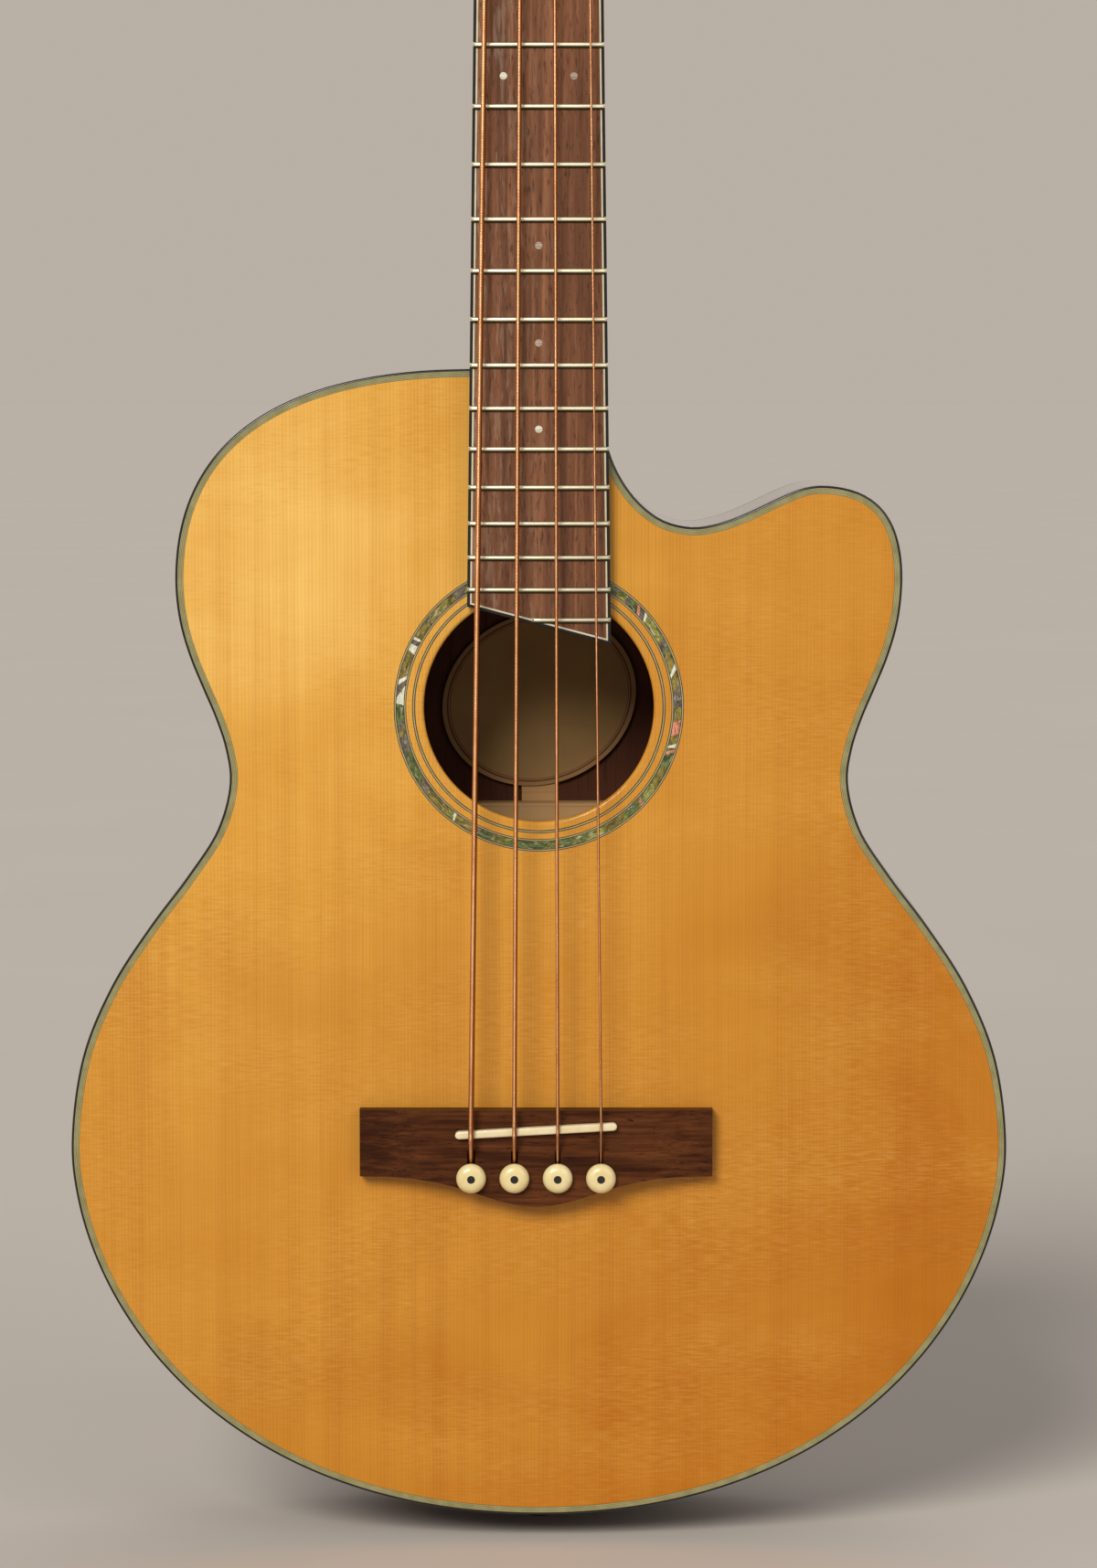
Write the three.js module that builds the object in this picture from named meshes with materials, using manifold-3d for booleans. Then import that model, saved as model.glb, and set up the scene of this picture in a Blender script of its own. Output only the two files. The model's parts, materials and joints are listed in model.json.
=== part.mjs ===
// Acoustic bass guitar with a cutaway body, four strings and open worm gear tuners.
// Lengths are in millimetres. The model is drawn lying on a bench: x runs to the treble side,
// y up the neck and z out of the soundboard. The root group then stands it up, so that the
// neck points along +Z and the soundboard faces -Y. The origin is the middle of the flat
// outer face of the end button.

import * as THREE from 'three';
import { mergeVertices } from 'three/addons/utils/BufferGeometryUtils.js';
import Module from 'manifold-3d';

const wasm = await Module();
wasm.setup();

// Joints between the pieces
const seam = 0.3; // glue line or seat between two pieces
const runningGap = 0.35; // round all that turns or slides
const overrun = 2; // how far a cutting solid runs past the face that it cuts

// Body
const scaleLength = 863.6; // from the nut to the bridge line
const bodyLength = 494;
const lowerBoutWidth = 401.6;
const waistWidth = 263.9;
const upperBoutWidth = 309.2;
const bridgeShare = 0.3476; // bridge line above the tail, as a share of the body length
const jointWidth = 56.4; // flat of the body where the neck meets it
const hornReach = 119; // tip of the cutaway horn, from the centre line
const valleyReach = 64.9; // lowest point of the cutaway, from the centre line
const tailDepth = 100;
const neckEndDepth = 88;
const sideThickness = 2.6;
const topThickness = 3.2;
const backThickness = 3;

// Heights of the outline's stations, as shares of the body length
const lowerBoutShare = 0.3275;
const waistShare = 0.644;
const upperBoutShare = 0.8185;
const hornShare = 0.9;
const valleyShare = 0.8644;
const jointShare = 0.9514;

// Curve handles of the outline, as shares of each stretch's width or height
const tailHandleShares = [0.696, 0.4125];
const hipHandleShares = [0.536, 0.259];
const ribHandleShares = [0.345, 0.433];
const shoulderHandleShares = [0.715, 0.588];
const hornHandleShares = [0.716, 0.64];
const scoopHandleShares = [0.26, 0.385];
const throatHandleShares = [0.571, 0.4];

// Straight pieces that each stretch of the outline is drawn with
const tailSteps = 9;
const hipSteps = 6;
const ribSteps = 6;
const shoulderSteps = 9;
const hornSteps = 6;
const scoopSteps = 7;
const throatSteps = 5;

// Binding and linings
const bindingThickness = 1.5;
const bindingHeight = 6.5;
const purflingWidth = 2;
const liningWidth = 7;
const liningHeight = 16;
const liningLip = 5;

// Soundhole and rosette
const holeShare = 0.7091; // centre above the tail, as a share of the body length
const holeRadius = 49;
const rosetteInner = 56;
const rosetteOuter = 61.8;
const lineRingInner = 51.3;
const lineRingOuter = 54;
const inlayDepth = 1.4;
const roundSides = 40;

// Blocks inside the body
const neckBlockLength = 46;
const neckBlockBass = 44;
const tailBlockLength = 20;
const tailBlockWidth = 70;

// Braces under the soundboard
const braceWidth = 8;
const braceHeight = 15;
const braceTip = 4;
const braceTaper = 46;
const crossGap = 2.5; // between the X braces and the soundhole
const crossAngle = 98;
const crossArmShares = [0.3846, 0.498]; // arms up and down, as shares of the body length
const transverseWidth = 9;
const transverseLength = 254;
const transverseGap = 4; // from the soundhole's edge
const toneBarWidth = 7;
const toneBarHeight = 11;
const toneBarLengthShares = [0.3036, 0.2267]; // as shares of the body length
const toneBarAngle = 24;
const toneBarShares = [0.501, 0.67]; // below the bridge line, as shares of its rise
const toneBarShift = 6;
const toneBarTaper = 30;
const plateLength = 170;
const plateWidth = 54;
const plateThickness = 3;

// Braces, strip and label on the back
const backBraceWidth = 8;
const backBraceHeight = 13;
const backBraceShares = [0.1377, 0.3563, 0.6036, 0.8178]; // above the tail
const backBraceTaper = 40;
const backBraceTip = 4;
const stripWidth = 15.5;
const stripThickness = 1.4;
const labelWidth = 86;
const labelHeight = 78;
const labelThickness = 0.5;
const labelDrop = 2.5; // centre below the soundhole centre
const labelSides = 32;

// End button
const buttonProud = 11;
const buttonRadius = 8;
const buttonWaist = 4.6;
const buttonRim = 2.6;
const buttonShank = 3.6;
const buttonDepth = 16;
const buttonSides = 14;

// Bridge, saddle and pins
const bridgeShift = -1.2; // to the bass side of the centre line
const bridgeWidth = 151;
const bridgeHeight = 9.5;
const bridgeWing = 6; // height at the two ends
const bridgeAbove = 6.4; // edge above the bridge line
const bridgeBelow = 22.5; // straight ends below the bridge line
const bridgeBelly = 35.2; // lowest point of the belly
const bellyShares = [0.82, 0.45, 0.3];
const bellySteps = 8;
const wingShares = [0.66, 0.84];
const wingRiseShare = 0.4;
const saddleLength = 69.5;
const saddleThickness = 3.4;
const saddleRise = 3.4; // above the bridge
const saddleSeat = 5;
const saddleSlant = 3.9;
const saddleDrop = 2; // middle of the saddle below the bridge line
const saddleRound = 0.5;
const saddleFacets = 4;
const rampDepth = 7.5; // of a string's notch in the bridge, at its pin hole
const slopeShare = 1.16; // room that a sloping string needs, as a share of its radius
const stringSpreadBridge = 55.5;
const stringSpreadNut = 35;
const pinDrop = 22.6; // below the bridge line
const pinHeadRadius = 6.45;
const pinHeadHeight = 4.6;
const pinShaft = 4;
const pinTip = 3.3;
const pinLength = 25;
const pinHole = 4.4;
const pinSides = 12;
const pinDomeShare = 0.62;

// Strings, from the lowest to the highest
const stringNames = ['e', 'a', 'd', 'g'];
const stringDiameters = [2.67, 2.16, 1.65, 1.14];
const firstLift = 0.6; // between string and fret crown at the nut
const ballRadius = 2.6;
const ballLength = 5;
const windingGap = 0.45;
const windingTurns = 2.2;
const windingSteps = 9;
const stringSides = 6;
const ballSides = 8;

// Fingerboard and frets
const boardThickness = 7;
const boardRadius = 406;
const boardNutWidth = 45;
const boardEndWidth = 61; // at the last fret
const boardEndBass = 5.9; // end of the board above the last fret
const boardEndTreble = 10.3; // end of the board below the last fret
const boardBinding = 2;
const fretCount = 24;
const fretWidth = 2.7;
const fretHeight = 1.2;
const fretFoot = 0.1;
const archSteps = 3;

// Neck and headstock
const nutThickness = 6;
const nutRise = 2.6; // above the fingerboard
const neckDepthNut = 16;
const neckDepthHeel = 19.5;
const heelInset = 4; // heel ends above the back
const heelFoot = 20;
const heelRun = 78;
const neckRoundness = 2;
const heelRoundness = 2.35;
const neckFacets = 10;
const heelSteps = 6;
const headAngle = 12;
const headLength = 190;
const headWidth = 90;
const headTipWidth = 80;
const headThickness = 15;
const headShares = [0.13, 0.29, 0.86];
const headSteps = 6;
const overlayThickness = 1.6;
const rodRadius = 2.8;
const rodDepth = 7; // rod's axis below the fingerboard
const rodEnd = 24; // lower end above the body joint
const rodNutRadius = 4.2;
const rodNutLength = 12;
const rodProud = 22; // upper end above the nut
const rodSlot = 46; // slot in the headstock's face, from the nut
const rodSides = 8;
const rodNutSides = 6;

// Tuners
const postReach = 25; // from the centre line
const postShares = [0.36, 0.7];
const postRadius = 5.5;
const postWaist = 4.4;
const postHeight = 25;
const waistLow = 6;
const waistHigh = 18;
const postSlotWidth = 3.2;
const postSlotDepth = 6.5;
const postSides = 12;
const ferruleWall = 1.4;
const ferruleDepth = 8;
const ferruleRadius = postRadius + runningGap + ferruleWall;
const ferruleFlange = 8.6;
const ferruleRim = 1.3;
const tunerPlate = 2;
const tunerPlateWidth = 33;
const tunerPlateAbove = 13; // plate edge past the post, towards the crest
const tunerPlateBelow = 21; // plate edge past the post, towards the nut
const gearTeeth = 20;
const threadPitch = 2.67;
const gearThickness = 6;
const gearHub = 5;
const wormPitchRadius = 4;
const addendum = 0.9;
const dedendum = 1.2;
const toothWidth = 0.95;
const threadWidth = 0.85;
const flankAngle = 15;
const wormLength = 13;
const wormSteps = 8;
const lugFacets = 4;
const lugSides = 8;
const keySides = 12;
const screwSides = 6;
const keyShaft = 2.6;
const lugThickness = 2.4;
const lugHalfWidth = 5.6;
const keyReach = 25; // from the post to the root of the key
const keyRadius = 12.5;
const keyLobe = 2.8;
const keyThickness = 4.5;
const collarRadius = 4;
const collarLength = 2.2;
const screwRadius = 2.6;
const screwHeight = 1.4;
const screwInset = 4.5;

// Places that follow from the sizes above
const topLevel = tailDepth / 2;
const tailY = buttonProud;
const bodyTopY = tailY + bodyLength;
const bridgeRise = bodyLength * bridgeShare;
const bridgeY = tailY + bridgeRise;
const nutY = bridgeY + scaleLength;
const holeY = tailY + bodyLength * holeShare;
const nutBackY = nutY + nutThickness;
const backSlope = (tailDepth - neckEndDepth) / bodyLength;
const boardLevel = topLevel + seam + boardThickness;
const bridgeLevel = topLevel + seam + bridgeHeight;
const saddleLevel = bridgeLevel + saddleRise;
const soundboardUnder = topLevel - topThickness;
const edgeInset = bindingThickness + purflingWidth + seam;
const liningInset = sideThickness + seam;
const braceInset = liningInset + liningWidth + seam;
const headTilt = THREE.MathUtils.degToRad(headAngle);

const backLevel = (y) => topLevel - tailDepth + (y - tailY) * backSlope;
const backInner = (y) => backLevel(y) + backThickness;
const fretY = (fret) => bridgeY + scaleLength / 2 ** (fret / 12);
const boardWidth = (y) =>
  boardNutWidth + ((boardEndWidth - boardNutWidth) * (nutY - y)) / (nutY - fretY(fretCount));
const stringGaps = stringNames.length - 1;
const stringX = (index, spread) => (spread * (index - stringGaps / 2)) / stringGaps;

// Materials
function finish(color, roughness, metalness = 0) {
  return new THREE.MeshStandardMaterial({ color, roughness, metalness });
}

const spruce = finish(0xd99a3a, 0.25);
const braceSpruce = finish(0xd9b98a, 0.7);
const mahogany = finish(0x4a2412, 0.3);
const neckMahogany = finish(0x6b3a1e, 0.35);
const cedar = finish(0xb98a58, 0.75);
const rosewood = finish(0x3a1d14, 0.45);
const fingerboardWood = finish(0x5a3424, 0.5);
const blackBinding = finish(0x0c0c0c, 0.2);
const shell = finish(0x7f9a72, 0.2);
const ringWood = finish(0xc9a25a, 0.3);
const bone = finish(0xe8dfbe, 0.35);
const creamPlastic = finish(0xe9deb0, 0.3);
const paper = finish(0xcdbb95, 0.85);
const maple = finish(0xc7a06a, 0.6);
const bronze = finish(0xb0653a, 0.35, 1);
const chrome = finish(0xc8ccd0, 0.18, 1);
const steel = finish(0x8f9499, 0.4, 1);
const blackButton = finish(0x141414, 0.3);

// The root stands the guitar up, and a piece is a named mesh in it or in a group of it
const root = new THREE.Group();
root.name = 'acoustic_bass_guitar';
root.rotation.x = Math.PI / 2;

function piece(name, geometry, material, parent = root) {
  geometry.computeVertexNormals();
  const mesh = new THREE.Mesh(geometry, material);
  mesh.name = name;
  parent.add(mesh);
  return mesh;
}

// Solids for cutting and joining
function solid(geometry) {
  const bare = geometry.clone();
  bare.deleteAttribute('normal');
  bare.deleteAttribute('uv');
  const merged = mergeVertices(bare);
  const triVerts = Uint32Array.from(merged.index.array);
  const vertProperties = Float32Array.from(merged.attributes.position.array);
  return new wasm.Manifold(new wasm.Mesh({ numProp: 3, vertProperties, triVerts }));
}

function geometryOf(body) {
  const mesh = body.getMesh();
  const geometry = new THREE.BufferGeometry();
  geometry.setAttribute('position', new THREE.BufferAttribute(mesh.vertProperties, 3));
  geometry.setIndex(new THREE.BufferAttribute(mesh.triVerts, 1));
  return geometry;
}

// Triangles over a flat loop of points in space, whatever its direction
function capFaces(loop) {
  const normal = new THREE.Vector3();
  loop.forEach((point, i) => {
    normal.add(new THREE.Vector3().crossVectors(point, loop[(i + 1) % loop.length]));
  });
  normal.normalize();
  const turn = new THREE.Quaternion().setFromUnitVectors(normal, new THREE.Vector3(0, 0, 1));
  const flat = loop.map((point) => point.clone().applyQuaternion(turn));
  return THREE.ShapeUtils.triangulateShape(flat.map((point) => new THREE.Vector2(point.x, point.y)), []);
}

// A closed solid through loops with the same number of points each
function loft(loops, ringShaped = false) {
  const count = loops[0].length;
  const faces = [];
  const spans = ringShaped ? loops.length : loops.length - 1;
  for (let i = 0; i < spans; i += 1) {
    const near = i * count;
    const far = ((i + 1) % loops.length) * count;
    for (let j = 0; j < count; j += 1) {
      const next = (j + 1) % count;
      faces.push([near + j, near + next, far + next], [near + j, far + next, far + j]);
    }
  }
  if (!ringShaped) {
    const last = (loops.length - 1) * count;
    for (const [a, b, c] of capFaces(loops[0])) faces.push([a, c, b]);
    for (const [a, b, c] of capFaces(loops[loops.length - 1])) faces.push([last + a, last + b, last + c]);
  }
  const points = loops.flat();
  const volume = faces.reduce((sum, [a, b, c]) => {
    const normal = new THREE.Vector3().crossVectors(points[b], points[c]);
    return sum + points[a].dot(normal);
  }, 0);
  const outward = volume < 0 ? faces.map(([a, b, c]) => [a, c, b]) : faces;
  const geometry = new THREE.BufferGeometry().setFromPoints(points);
  geometry.setIndex(outward.flat());
  return geometry;
}

// A prism over a flat outline between two heights
function prism(points, low, high, holes = []) {
  const shape = new THREE.Shape(points.map(([x, y]) => new THREE.Vector2(x, y)));
  for (const hole of holes) {
    shape.holes.push(new THREE.Path(hole.map(([x, y]) => new THREE.Vector2(x, y))));
  }
  const geometry = new THREE.ExtrudeGeometry(shape, { depth: high - low, bevelEnabled: false });
  return geometry.translate(0, 0, low);
}

function circle(x, y, radius, sides) {
  return Array.from({ length: sides }, (_, i) => {
    const angle = ((i + 1 / 2) * 2 * Math.PI) / sides;
    return [x + radius * Math.cos(angle), y + radius * Math.sin(angle)];
  });
}

function box(xFrom, xTo, yFrom, yTo, low, high) {
  return prism([[xFrom, yFrom], [xTo, yFrom], [xTo, yTo], [xFrom, yTo]], low, high);
}

// A revolved solid about z, from a closed list of [radius, height]
function turned(profile, sides, phase = Math.PI / sides) {
  const points = profile.map(([radius, height]) => new THREE.Vector2(radius, height));
  if (profile[0][0] > 0) points.push(points[0].clone());
  const geometry = new THREE.LatheGeometry(points, sides, phase);
  geometry.rotateX(Math.PI / 2);
  return closedTurn(geometry);
}

// A lathe's seam and poles are merged, and its faces set to point out
function closedTurn(geometry) {
  const bare = geometry.clone();
  bare.deleteAttribute('normal');
  bare.deleteAttribute('uv');
  const merged = mergeVertices(bare);
  const place = merged.attributes.position;
  const at = (index) => new THREE.Vector3().fromBufferAttribute(place, index);
  const faces = [];
  let volume = 0;
  for (let i = 0; i < merged.index.count; i += 3) {
    const corners = [merged.index.getX(i), merged.index.getX(i + 1), merged.index.getX(i + 2)];
    if (new Set(corners).size === 3) {
      faces.push(corners);
      volume += at(corners[0]).dot(at(corners[1]).cross(at(corners[2])));
    }
  }
  merged.setIndex(faces.flatMap(([a, b, c]) => (volume < 0 ? [a, c, b] : [a, b, c])));
  return merged;
}

// Outline of the body, from the tail up the treble side to the joint and down the bass side
function stretch(from, handleFrom, handleTo, to, steps) {
  const curve = new THREE.CubicBezierCurve(
    new THREE.Vector2(...from),
    new THREE.Vector2(...handleFrom),
    new THREE.Vector2(...handleTo),
    new THREE.Vector2(...to),
  );
  return curve.getPoints(steps);
}

const between = (from, to, share) => from + (to - from) * share;

function outlineStations() {
  const level = (share) => tailY + bodyLength * share;
  const lower = [lowerBoutWidth / 2, level(lowerBoutShare)];
  const waist = [waistWidth / 2, level(waistShare)];
  const upper = [upperBoutWidth / 2, level(upperBoutShare)];
  const horn = [hornReach, level(hornShare)];
  const valley = [valleyReach, level(valleyShare)];
  const throat = [jointWidth / 2, level(jointShare)];
  const joint = [jointWidth / 2, bodyTopY];
  return { lower, waist, upper, horn, valley, throat, joint };
}

// The stretches that both sides share, from the tail to the upper bout
function lowerStretches({ lower, waist, upper }) {
  const [tailWide, tailHigh] = tailHandleShares;
  const [hipHigh, hipLow] = hipHandleShares;
  const [ribHigh, ribLow] = ribHandleShares;
  return [
    ...stretch(
      [0, tailY],
      [lower[0] * tailWide, tailY],
      [lower[0], between(lower[1], tailY, tailHigh)],
      lower,
      tailSteps,
    ),
    ...stretch(
      lower,
      [lower[0], between(lower[1], waist[1], hipHigh)],
      [waist[0], between(waist[1], lower[1], hipLow)],
      waist,
      hipSteps,
    ).slice(1),
    ...stretch(
      waist,
      [waist[0], between(waist[1], upper[1], ribHigh)],
      [upper[0], between(upper[1], waist[1], ribLow)],
      upper,
      ribSteps,
    ).slice(1),
  ];
}

function trebleStretches({ upper, horn, valley, throat, joint }) {
  const [hornHigh, hornWide] = hornHandleShares;
  const [scoopHorn, scoopValley] = scoopHandleShares;
  const [throatWide, throatHigh] = throatHandleShares;
  return [
    ...stretch(
      upper,
      [upper[0], between(upper[1], horn[1], hornHigh)],
      [between(horn[0], upper[0], hornWide), horn[1]],
      horn,
      hornSteps,
    ).slice(1),
    ...stretch(
      horn,
      [between(horn[0], valley[0], scoopHorn), horn[1]],
      [between(valley[0], horn[0], scoopValley), valley[1]],
      valley,
      scoopSteps,
    ).slice(1),
    ...stretch(
      valley,
      [between(valley[0], throat[0], throatWide), valley[1]],
      [throat[0], between(throat[1], valley[1], throatHigh)],
      throat,
      throatSteps,
    ).slice(1),
    new THREE.Vector2(...joint),
  ];
}

function bassStretches({ upper, joint }) {
  const [shoulderHigh, shoulderWide] = shoulderHandleShares;
  return stretch(
    upper,
    [upper[0], between(upper[1], joint[1], shoulderHigh)],
    [between(joint[0], upper[0], shoulderWide), joint[1]],
    joint,
    shoulderSteps,
  ).slice(1);
}

function outline() {
  const stations = outlineStations();
  const treble = [...lowerStretches(stations), ...trebleStretches(stations)];
  const bass = [...lowerStretches(stations), ...bassStretches(stations)].slice(1);
  const crest = new THREE.Vector2(0, bodyTopY);
  const mirrored = bass.reverse().map((point) => new THREE.Vector2(-point.x, point.y));
  return { loop: [...treble, crest, ...mirrored], crestIndex: treble.length };
}

const { loop: bodyLoop, crestIndex } = outline();

// The body's outline drawn in by a distance, with mitred corners
function insetLoop(distance) {
  const count = bodyLoop.length;
  const inward = (from, to) => {
    const along = to.clone().sub(from).normalize();
    return new THREE.Vector2(-along.y, along.x);
  };
  return bodyLoop.map((point, i) => {
    const before = inward(bodyLoop[(i + count - 1) % count], point);
    const after = inward(point, bodyLoop[(i + 1) % count]);
    const mitre = before.clone().add(after).multiplyScalar(distance / (1 + before.dot(after)));
    return point.clone().add(mitre);
  });
}

const pairs = (points) => points.map((point) => [point.x, point.y]);

// A strip bent round the body. Its section is a list of [inset from the outline, height at y].
function bentStrip(section, part = 'all') {
  const loops = section.map(([inset]) => insetLoop(inset));
  const count = bodyLoop.length;
  const stations = {
    all: Array.from({ length: count }, (_, i) => i),
    treble: Array.from({ length: crestIndex + 1 }, (_, i) => i),
    bass: Array.from({ length: count - crestIndex + 1 }, (_, i) => (crestIndex + i) % count),
  }[part];
  const side = part === 'bass' ? -1 : 1;
  const sections = stations.map((station) =>
    section.map(([, height], i) => {
      const point = loops[i][station];
      const onCentre = part !== 'all' && (station === 0 || station === crestIndex);
      const x = onCentre ? (side * seam) / 2 : point.x;
      return new THREE.Vector3(x, point.y, height(point.y));
    }),
  );
  return loft(sections, part === 'all');
}

const below = (depth) => () => topLevel - depth;
const above = (height) => (y) => backLevel(y) + height;

// What fills the body between the soundboard and the back, inside a given inset
function cavity(inset) {
  const loop = insetLoop(inset);
  const floor = loop.map(({ x, y }) => new THREE.Vector3(x, y, backInner(y) + seam));
  const roof = loop.map(({ x, y }) => new THREE.Vector3(x, y, soundboardUnder - seam));
  return solid(loft([floor, roof]));
}

const blockSpace = cavity(liningInset);
const braceSpace = cavity(braceInset);

// A bar that runs along x. Its profile is a list of [x, height], its width lies along y.
function bar(profile, width) {
  return prism(profile, -width / 2, width / 2).rotateX(Math.PI / 2);
}

// A slab across x. Its outline is a list of [y, height].
function slab(points, from, to) {
  return loft([from, to].map((x) => points.map(([y, z]) => new THREE.Vector3(x, y, z))));
}

// What lies on the back is drawn on a level plane and then sheared to the back's slope
function onBack(geometry) {
  const shear = new THREE.Matrix4().set(1, 0, 0, 0, 0, 1, 0, 0, 0, backSlope, 1, backInner(0), 0, 0, 0, 1);
  return geometry.applyMatrix4(shear);
}

const pinX = (index) => bridgeShift + stringX(index, stringSpreadBridge);
const pinY = bridgeY - pinDrop;
const saddleAngle = Math.asin(saddleSlant / saddleLength);
const saddleY = (x) => bridgeY - saddleDrop + Math.tan(saddleAngle) * (x - bridgeShift);

function cutRings(low, high, radius = pinHole) {
  return stringNames.map((_, i) => solid(prism(circle(pinX(i), pinY, radius, pinSides), low, high)));
}

function cutFrom(body, cutters) {
  return cutters.reduce((rest, cutter) => rest.subtract(cutter), body);
}

// Soundboard with its soundhole, the two inlay channels and the pin holes
function makeSoundboard() {
  const plate = solid(prism(pairs(insetLoop(edgeInset)), soundboardUnder, topLevel));
  const low = soundboardUnder - overrun;
  const high = topLevel + overrun;
  const hole = solid(prism(circle(0, holeY, holeRadius, roundSides), low, high));
  const channels = [[rosetteInner, rosetteOuter], [lineRingInner, lineRingOuter]].map(([inner, outer]) =>
    solid(ringPrism(inner - seam, outer + seam, topLevel - inlayDepth - seam, high)),
  );
  piece('soundboard', geometryOf(cutFrom(plate, [hole, ...channels, ...cutRings(low, high)])), spruce);
}

function ringPrism(inner, outer, low, high) {
  return prism(circle(0, holeY, outer, roundSides), low, high, [circle(0, holeY, inner, roundSides)]);
}

function makeInlays() {
  const low = topLevel - inlayDepth;
  piece('rosette', ringPrism(rosetteInner, rosetteOuter, low, topLevel), shell);
  piece('line_ring', ringPrism(lineRingInner, lineRingOuter, low, topLevel), ringWood);
}

function makeBackPlate() {
  const loop = pairs(insetLoop(bindingThickness + seam));
  piece('back_plate', onBack(prism(loop, -backThickness, 0)), mahogany);
}

// Bent sides. Their edges step in under the bindings.
const buttonHole = solid(
  turned(
    [
      [0, -overrun],
      [buttonShank + seam, -overrun],
      [buttonShank + seam, tailBlockLength * 2],
      [0, tailBlockLength * 2],
    ],
    pinSides,
  ).rotateX(-Math.PI / 2),
);

function makeSides() {
  const step = bindingThickness + seam;
  const section = [
    [0, below(bindingHeight + seam)],
    [step, below(bindingHeight + seam)],
    [step, below(topThickness + seam)],
    [sideThickness, below(topThickness + seam)],
    [sideThickness, above(backThickness + seam)],
    [step, above(backThickness + seam)],
    [step, above(bindingHeight + seam)],
    [0, above(bindingHeight + seam)],
  ];
  for (const part of ['bass', 'treble']) {
    const side = solid(bentStrip(section, part)).subtract(buttonHole);
    piece(`side_${part}`, geometryOf(side), mahogany);
  }
}

function makeBindings() {
  const inner = bindingThickness + purflingWidth;
  const topSection = [
    [0, below(bindingHeight)],
    [0, below(0)],
    [inner, below(0)],
    [inner, below(topThickness)],
    [bindingThickness, below(topThickness)],
    [bindingThickness, below(bindingHeight)],
  ];
  const backSection = [
    [0, above(0)],
    [bindingThickness, above(0)],
    [bindingThickness, above(bindingHeight)],
    [0, above(bindingHeight)],
  ];
  piece('binding_top', bentStrip(topSection), blackBinding);
  piece('binding_back', bentStrip(backSection), blackBinding);
}

// End blocks, and the spaces that the linings leave for them
const neckBlockEdge = bodyTopY - liningInset - neckBlockLength;
const tailBlockEdge = tailY + liningInset + tailBlockLength;
const blockSpans = {
  neck_block: [-neckBlockBass, jointWidth / 2 - liningInset, neckBlockEdge, bodyTopY],
  tail_block: [-tailBlockWidth / 2, tailBlockWidth / 2, tailY, tailBlockEdge],
};

function blockBox([xFrom, xTo, yFrom, yTo], grow) {
  return solid(box(xFrom - grow, xTo + grow, yFrom - grow, yTo + grow, -tailDepth, tailDepth));
}

function makeBlocks() {
  for (const [name, span] of Object.entries(blockSpans)) {
    const block = blockBox(span, 0).intersect(blockSpace).subtract(buttonHole);
    piece(name, geometryOf(block), cedar);
  }
}

function makeLinings() {
  const outer = liningInset;
  const inner = liningInset + liningWidth;
  const rest = topThickness + seam;
  const bed = backThickness + seam;
  const sections = {
    top: [
      [outer, below(rest)],
      [inner, below(rest)],
      [inner, below(rest + liningLip)],
      [outer, below(rest + liningHeight)],
    ],
    back: [
      [outer, above(bed)],
      [inner, above(bed)],
      [inner, above(bed + liningLip)],
      [outer, above(bed + liningHeight)],
    ],
  };
  const blocks = Object.values(blockSpans).map((span) => blockBox(span, seam));
  for (const [edge, section] of Object.entries(sections)) {
    for (const part of ['bass', 'treble']) {
      const strip = cutFrom(solid(bentStrip(section, part)), blocks);
      piece(`lining_${edge}_${part}`, geometryOf(strip), cedar);
    }
  }
}

// Braces under the soundboard hang from z = 0 of their own drawing
function braceProfile(from, to, height, tip, taper) {
  return [[from, 0], [to, 0], [to, -tip], [to - taper, -height], [from + taper, -height], [from, -tip]];
}

function underTop(geometry, angle, x, y) {
  return geometry.rotateZ(angle).translate(x, y, soundboardUnder - seam);
}

const crossHalf = THREE.MathUtils.degToRad(crossAngle / 2);
const crossY = holeY - (holeRadius + crossGap + braceWidth / 2) / Math.sin(crossHalf);

function makeCrossBraces() {
  const angles = { bass: Math.PI / 2 + crossHalf, treble: Math.PI / 2 - crossHalf };
  const [armUp, armDown] = crossArmShares.map((share) => share * bodyLength);
  const profile = braceProfile(-armDown, armUp, braceHeight, braceTip, braceTaper);
  const reach = braceWidth * 2;
  const lap = (low, high, angle) => {
    const block = [[-reach, low], [reach, low], [reach, high], [-reach, high]];
    return solid(underTop(bar(block, braceWidth + seam * 2), angle, 0, crossY));
  };
  const middle = -braceHeight / 2;
  const brace = (angle) => solid(underTop(bar(profile, braceWidth), angle, 0, crossY)).intersect(braceSpace);
  const bass = brace(angles.bass).subtract(lap(-braceHeight - overrun, middle + seam / 2, angles.treble));
  const treble = brace(angles.treble).subtract(lap(middle - seam / 2, overrun, angles.bass));
  piece('x_brace_bass', geometryOf(bass), braceSpruce);
  piece('x_brace_treble', geometryOf(treble), braceSpruce);
}

function makeTopBars() {
  const transverseY = holeY + holeRadius + transverseGap + transverseWidth / 2;
  const half = transverseLength / 2;
  const transverse = bar(braceProfile(-half, half, braceHeight, braceTip, braceTaper), transverseWidth);
  const placed = solid(underTop(transverse, 0, 0, transverseY)).intersect(braceSpace);
  piece('transverse_brace', geometryOf(placed), braceSpruce);
  const names = ['tone_bar_upper', 'tone_bar_lower'];
  names.forEach((name, i) => {
    const reach = (bodyLength * toneBarLengthShares[i]) / 2;
    const profile = braceProfile(-reach, reach, toneBarHeight, braceTip, toneBarTaper);
    const angle = THREE.MathUtils.degToRad(toneBarAngle);
    const toneY = bridgeY - bridgeRise * toneBarShares[i];
    const tone = underTop(bar(profile, toneBarWidth), angle, toneBarShift, toneY);
    piece(name, tone, braceSpruce);
  });
}

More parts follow.
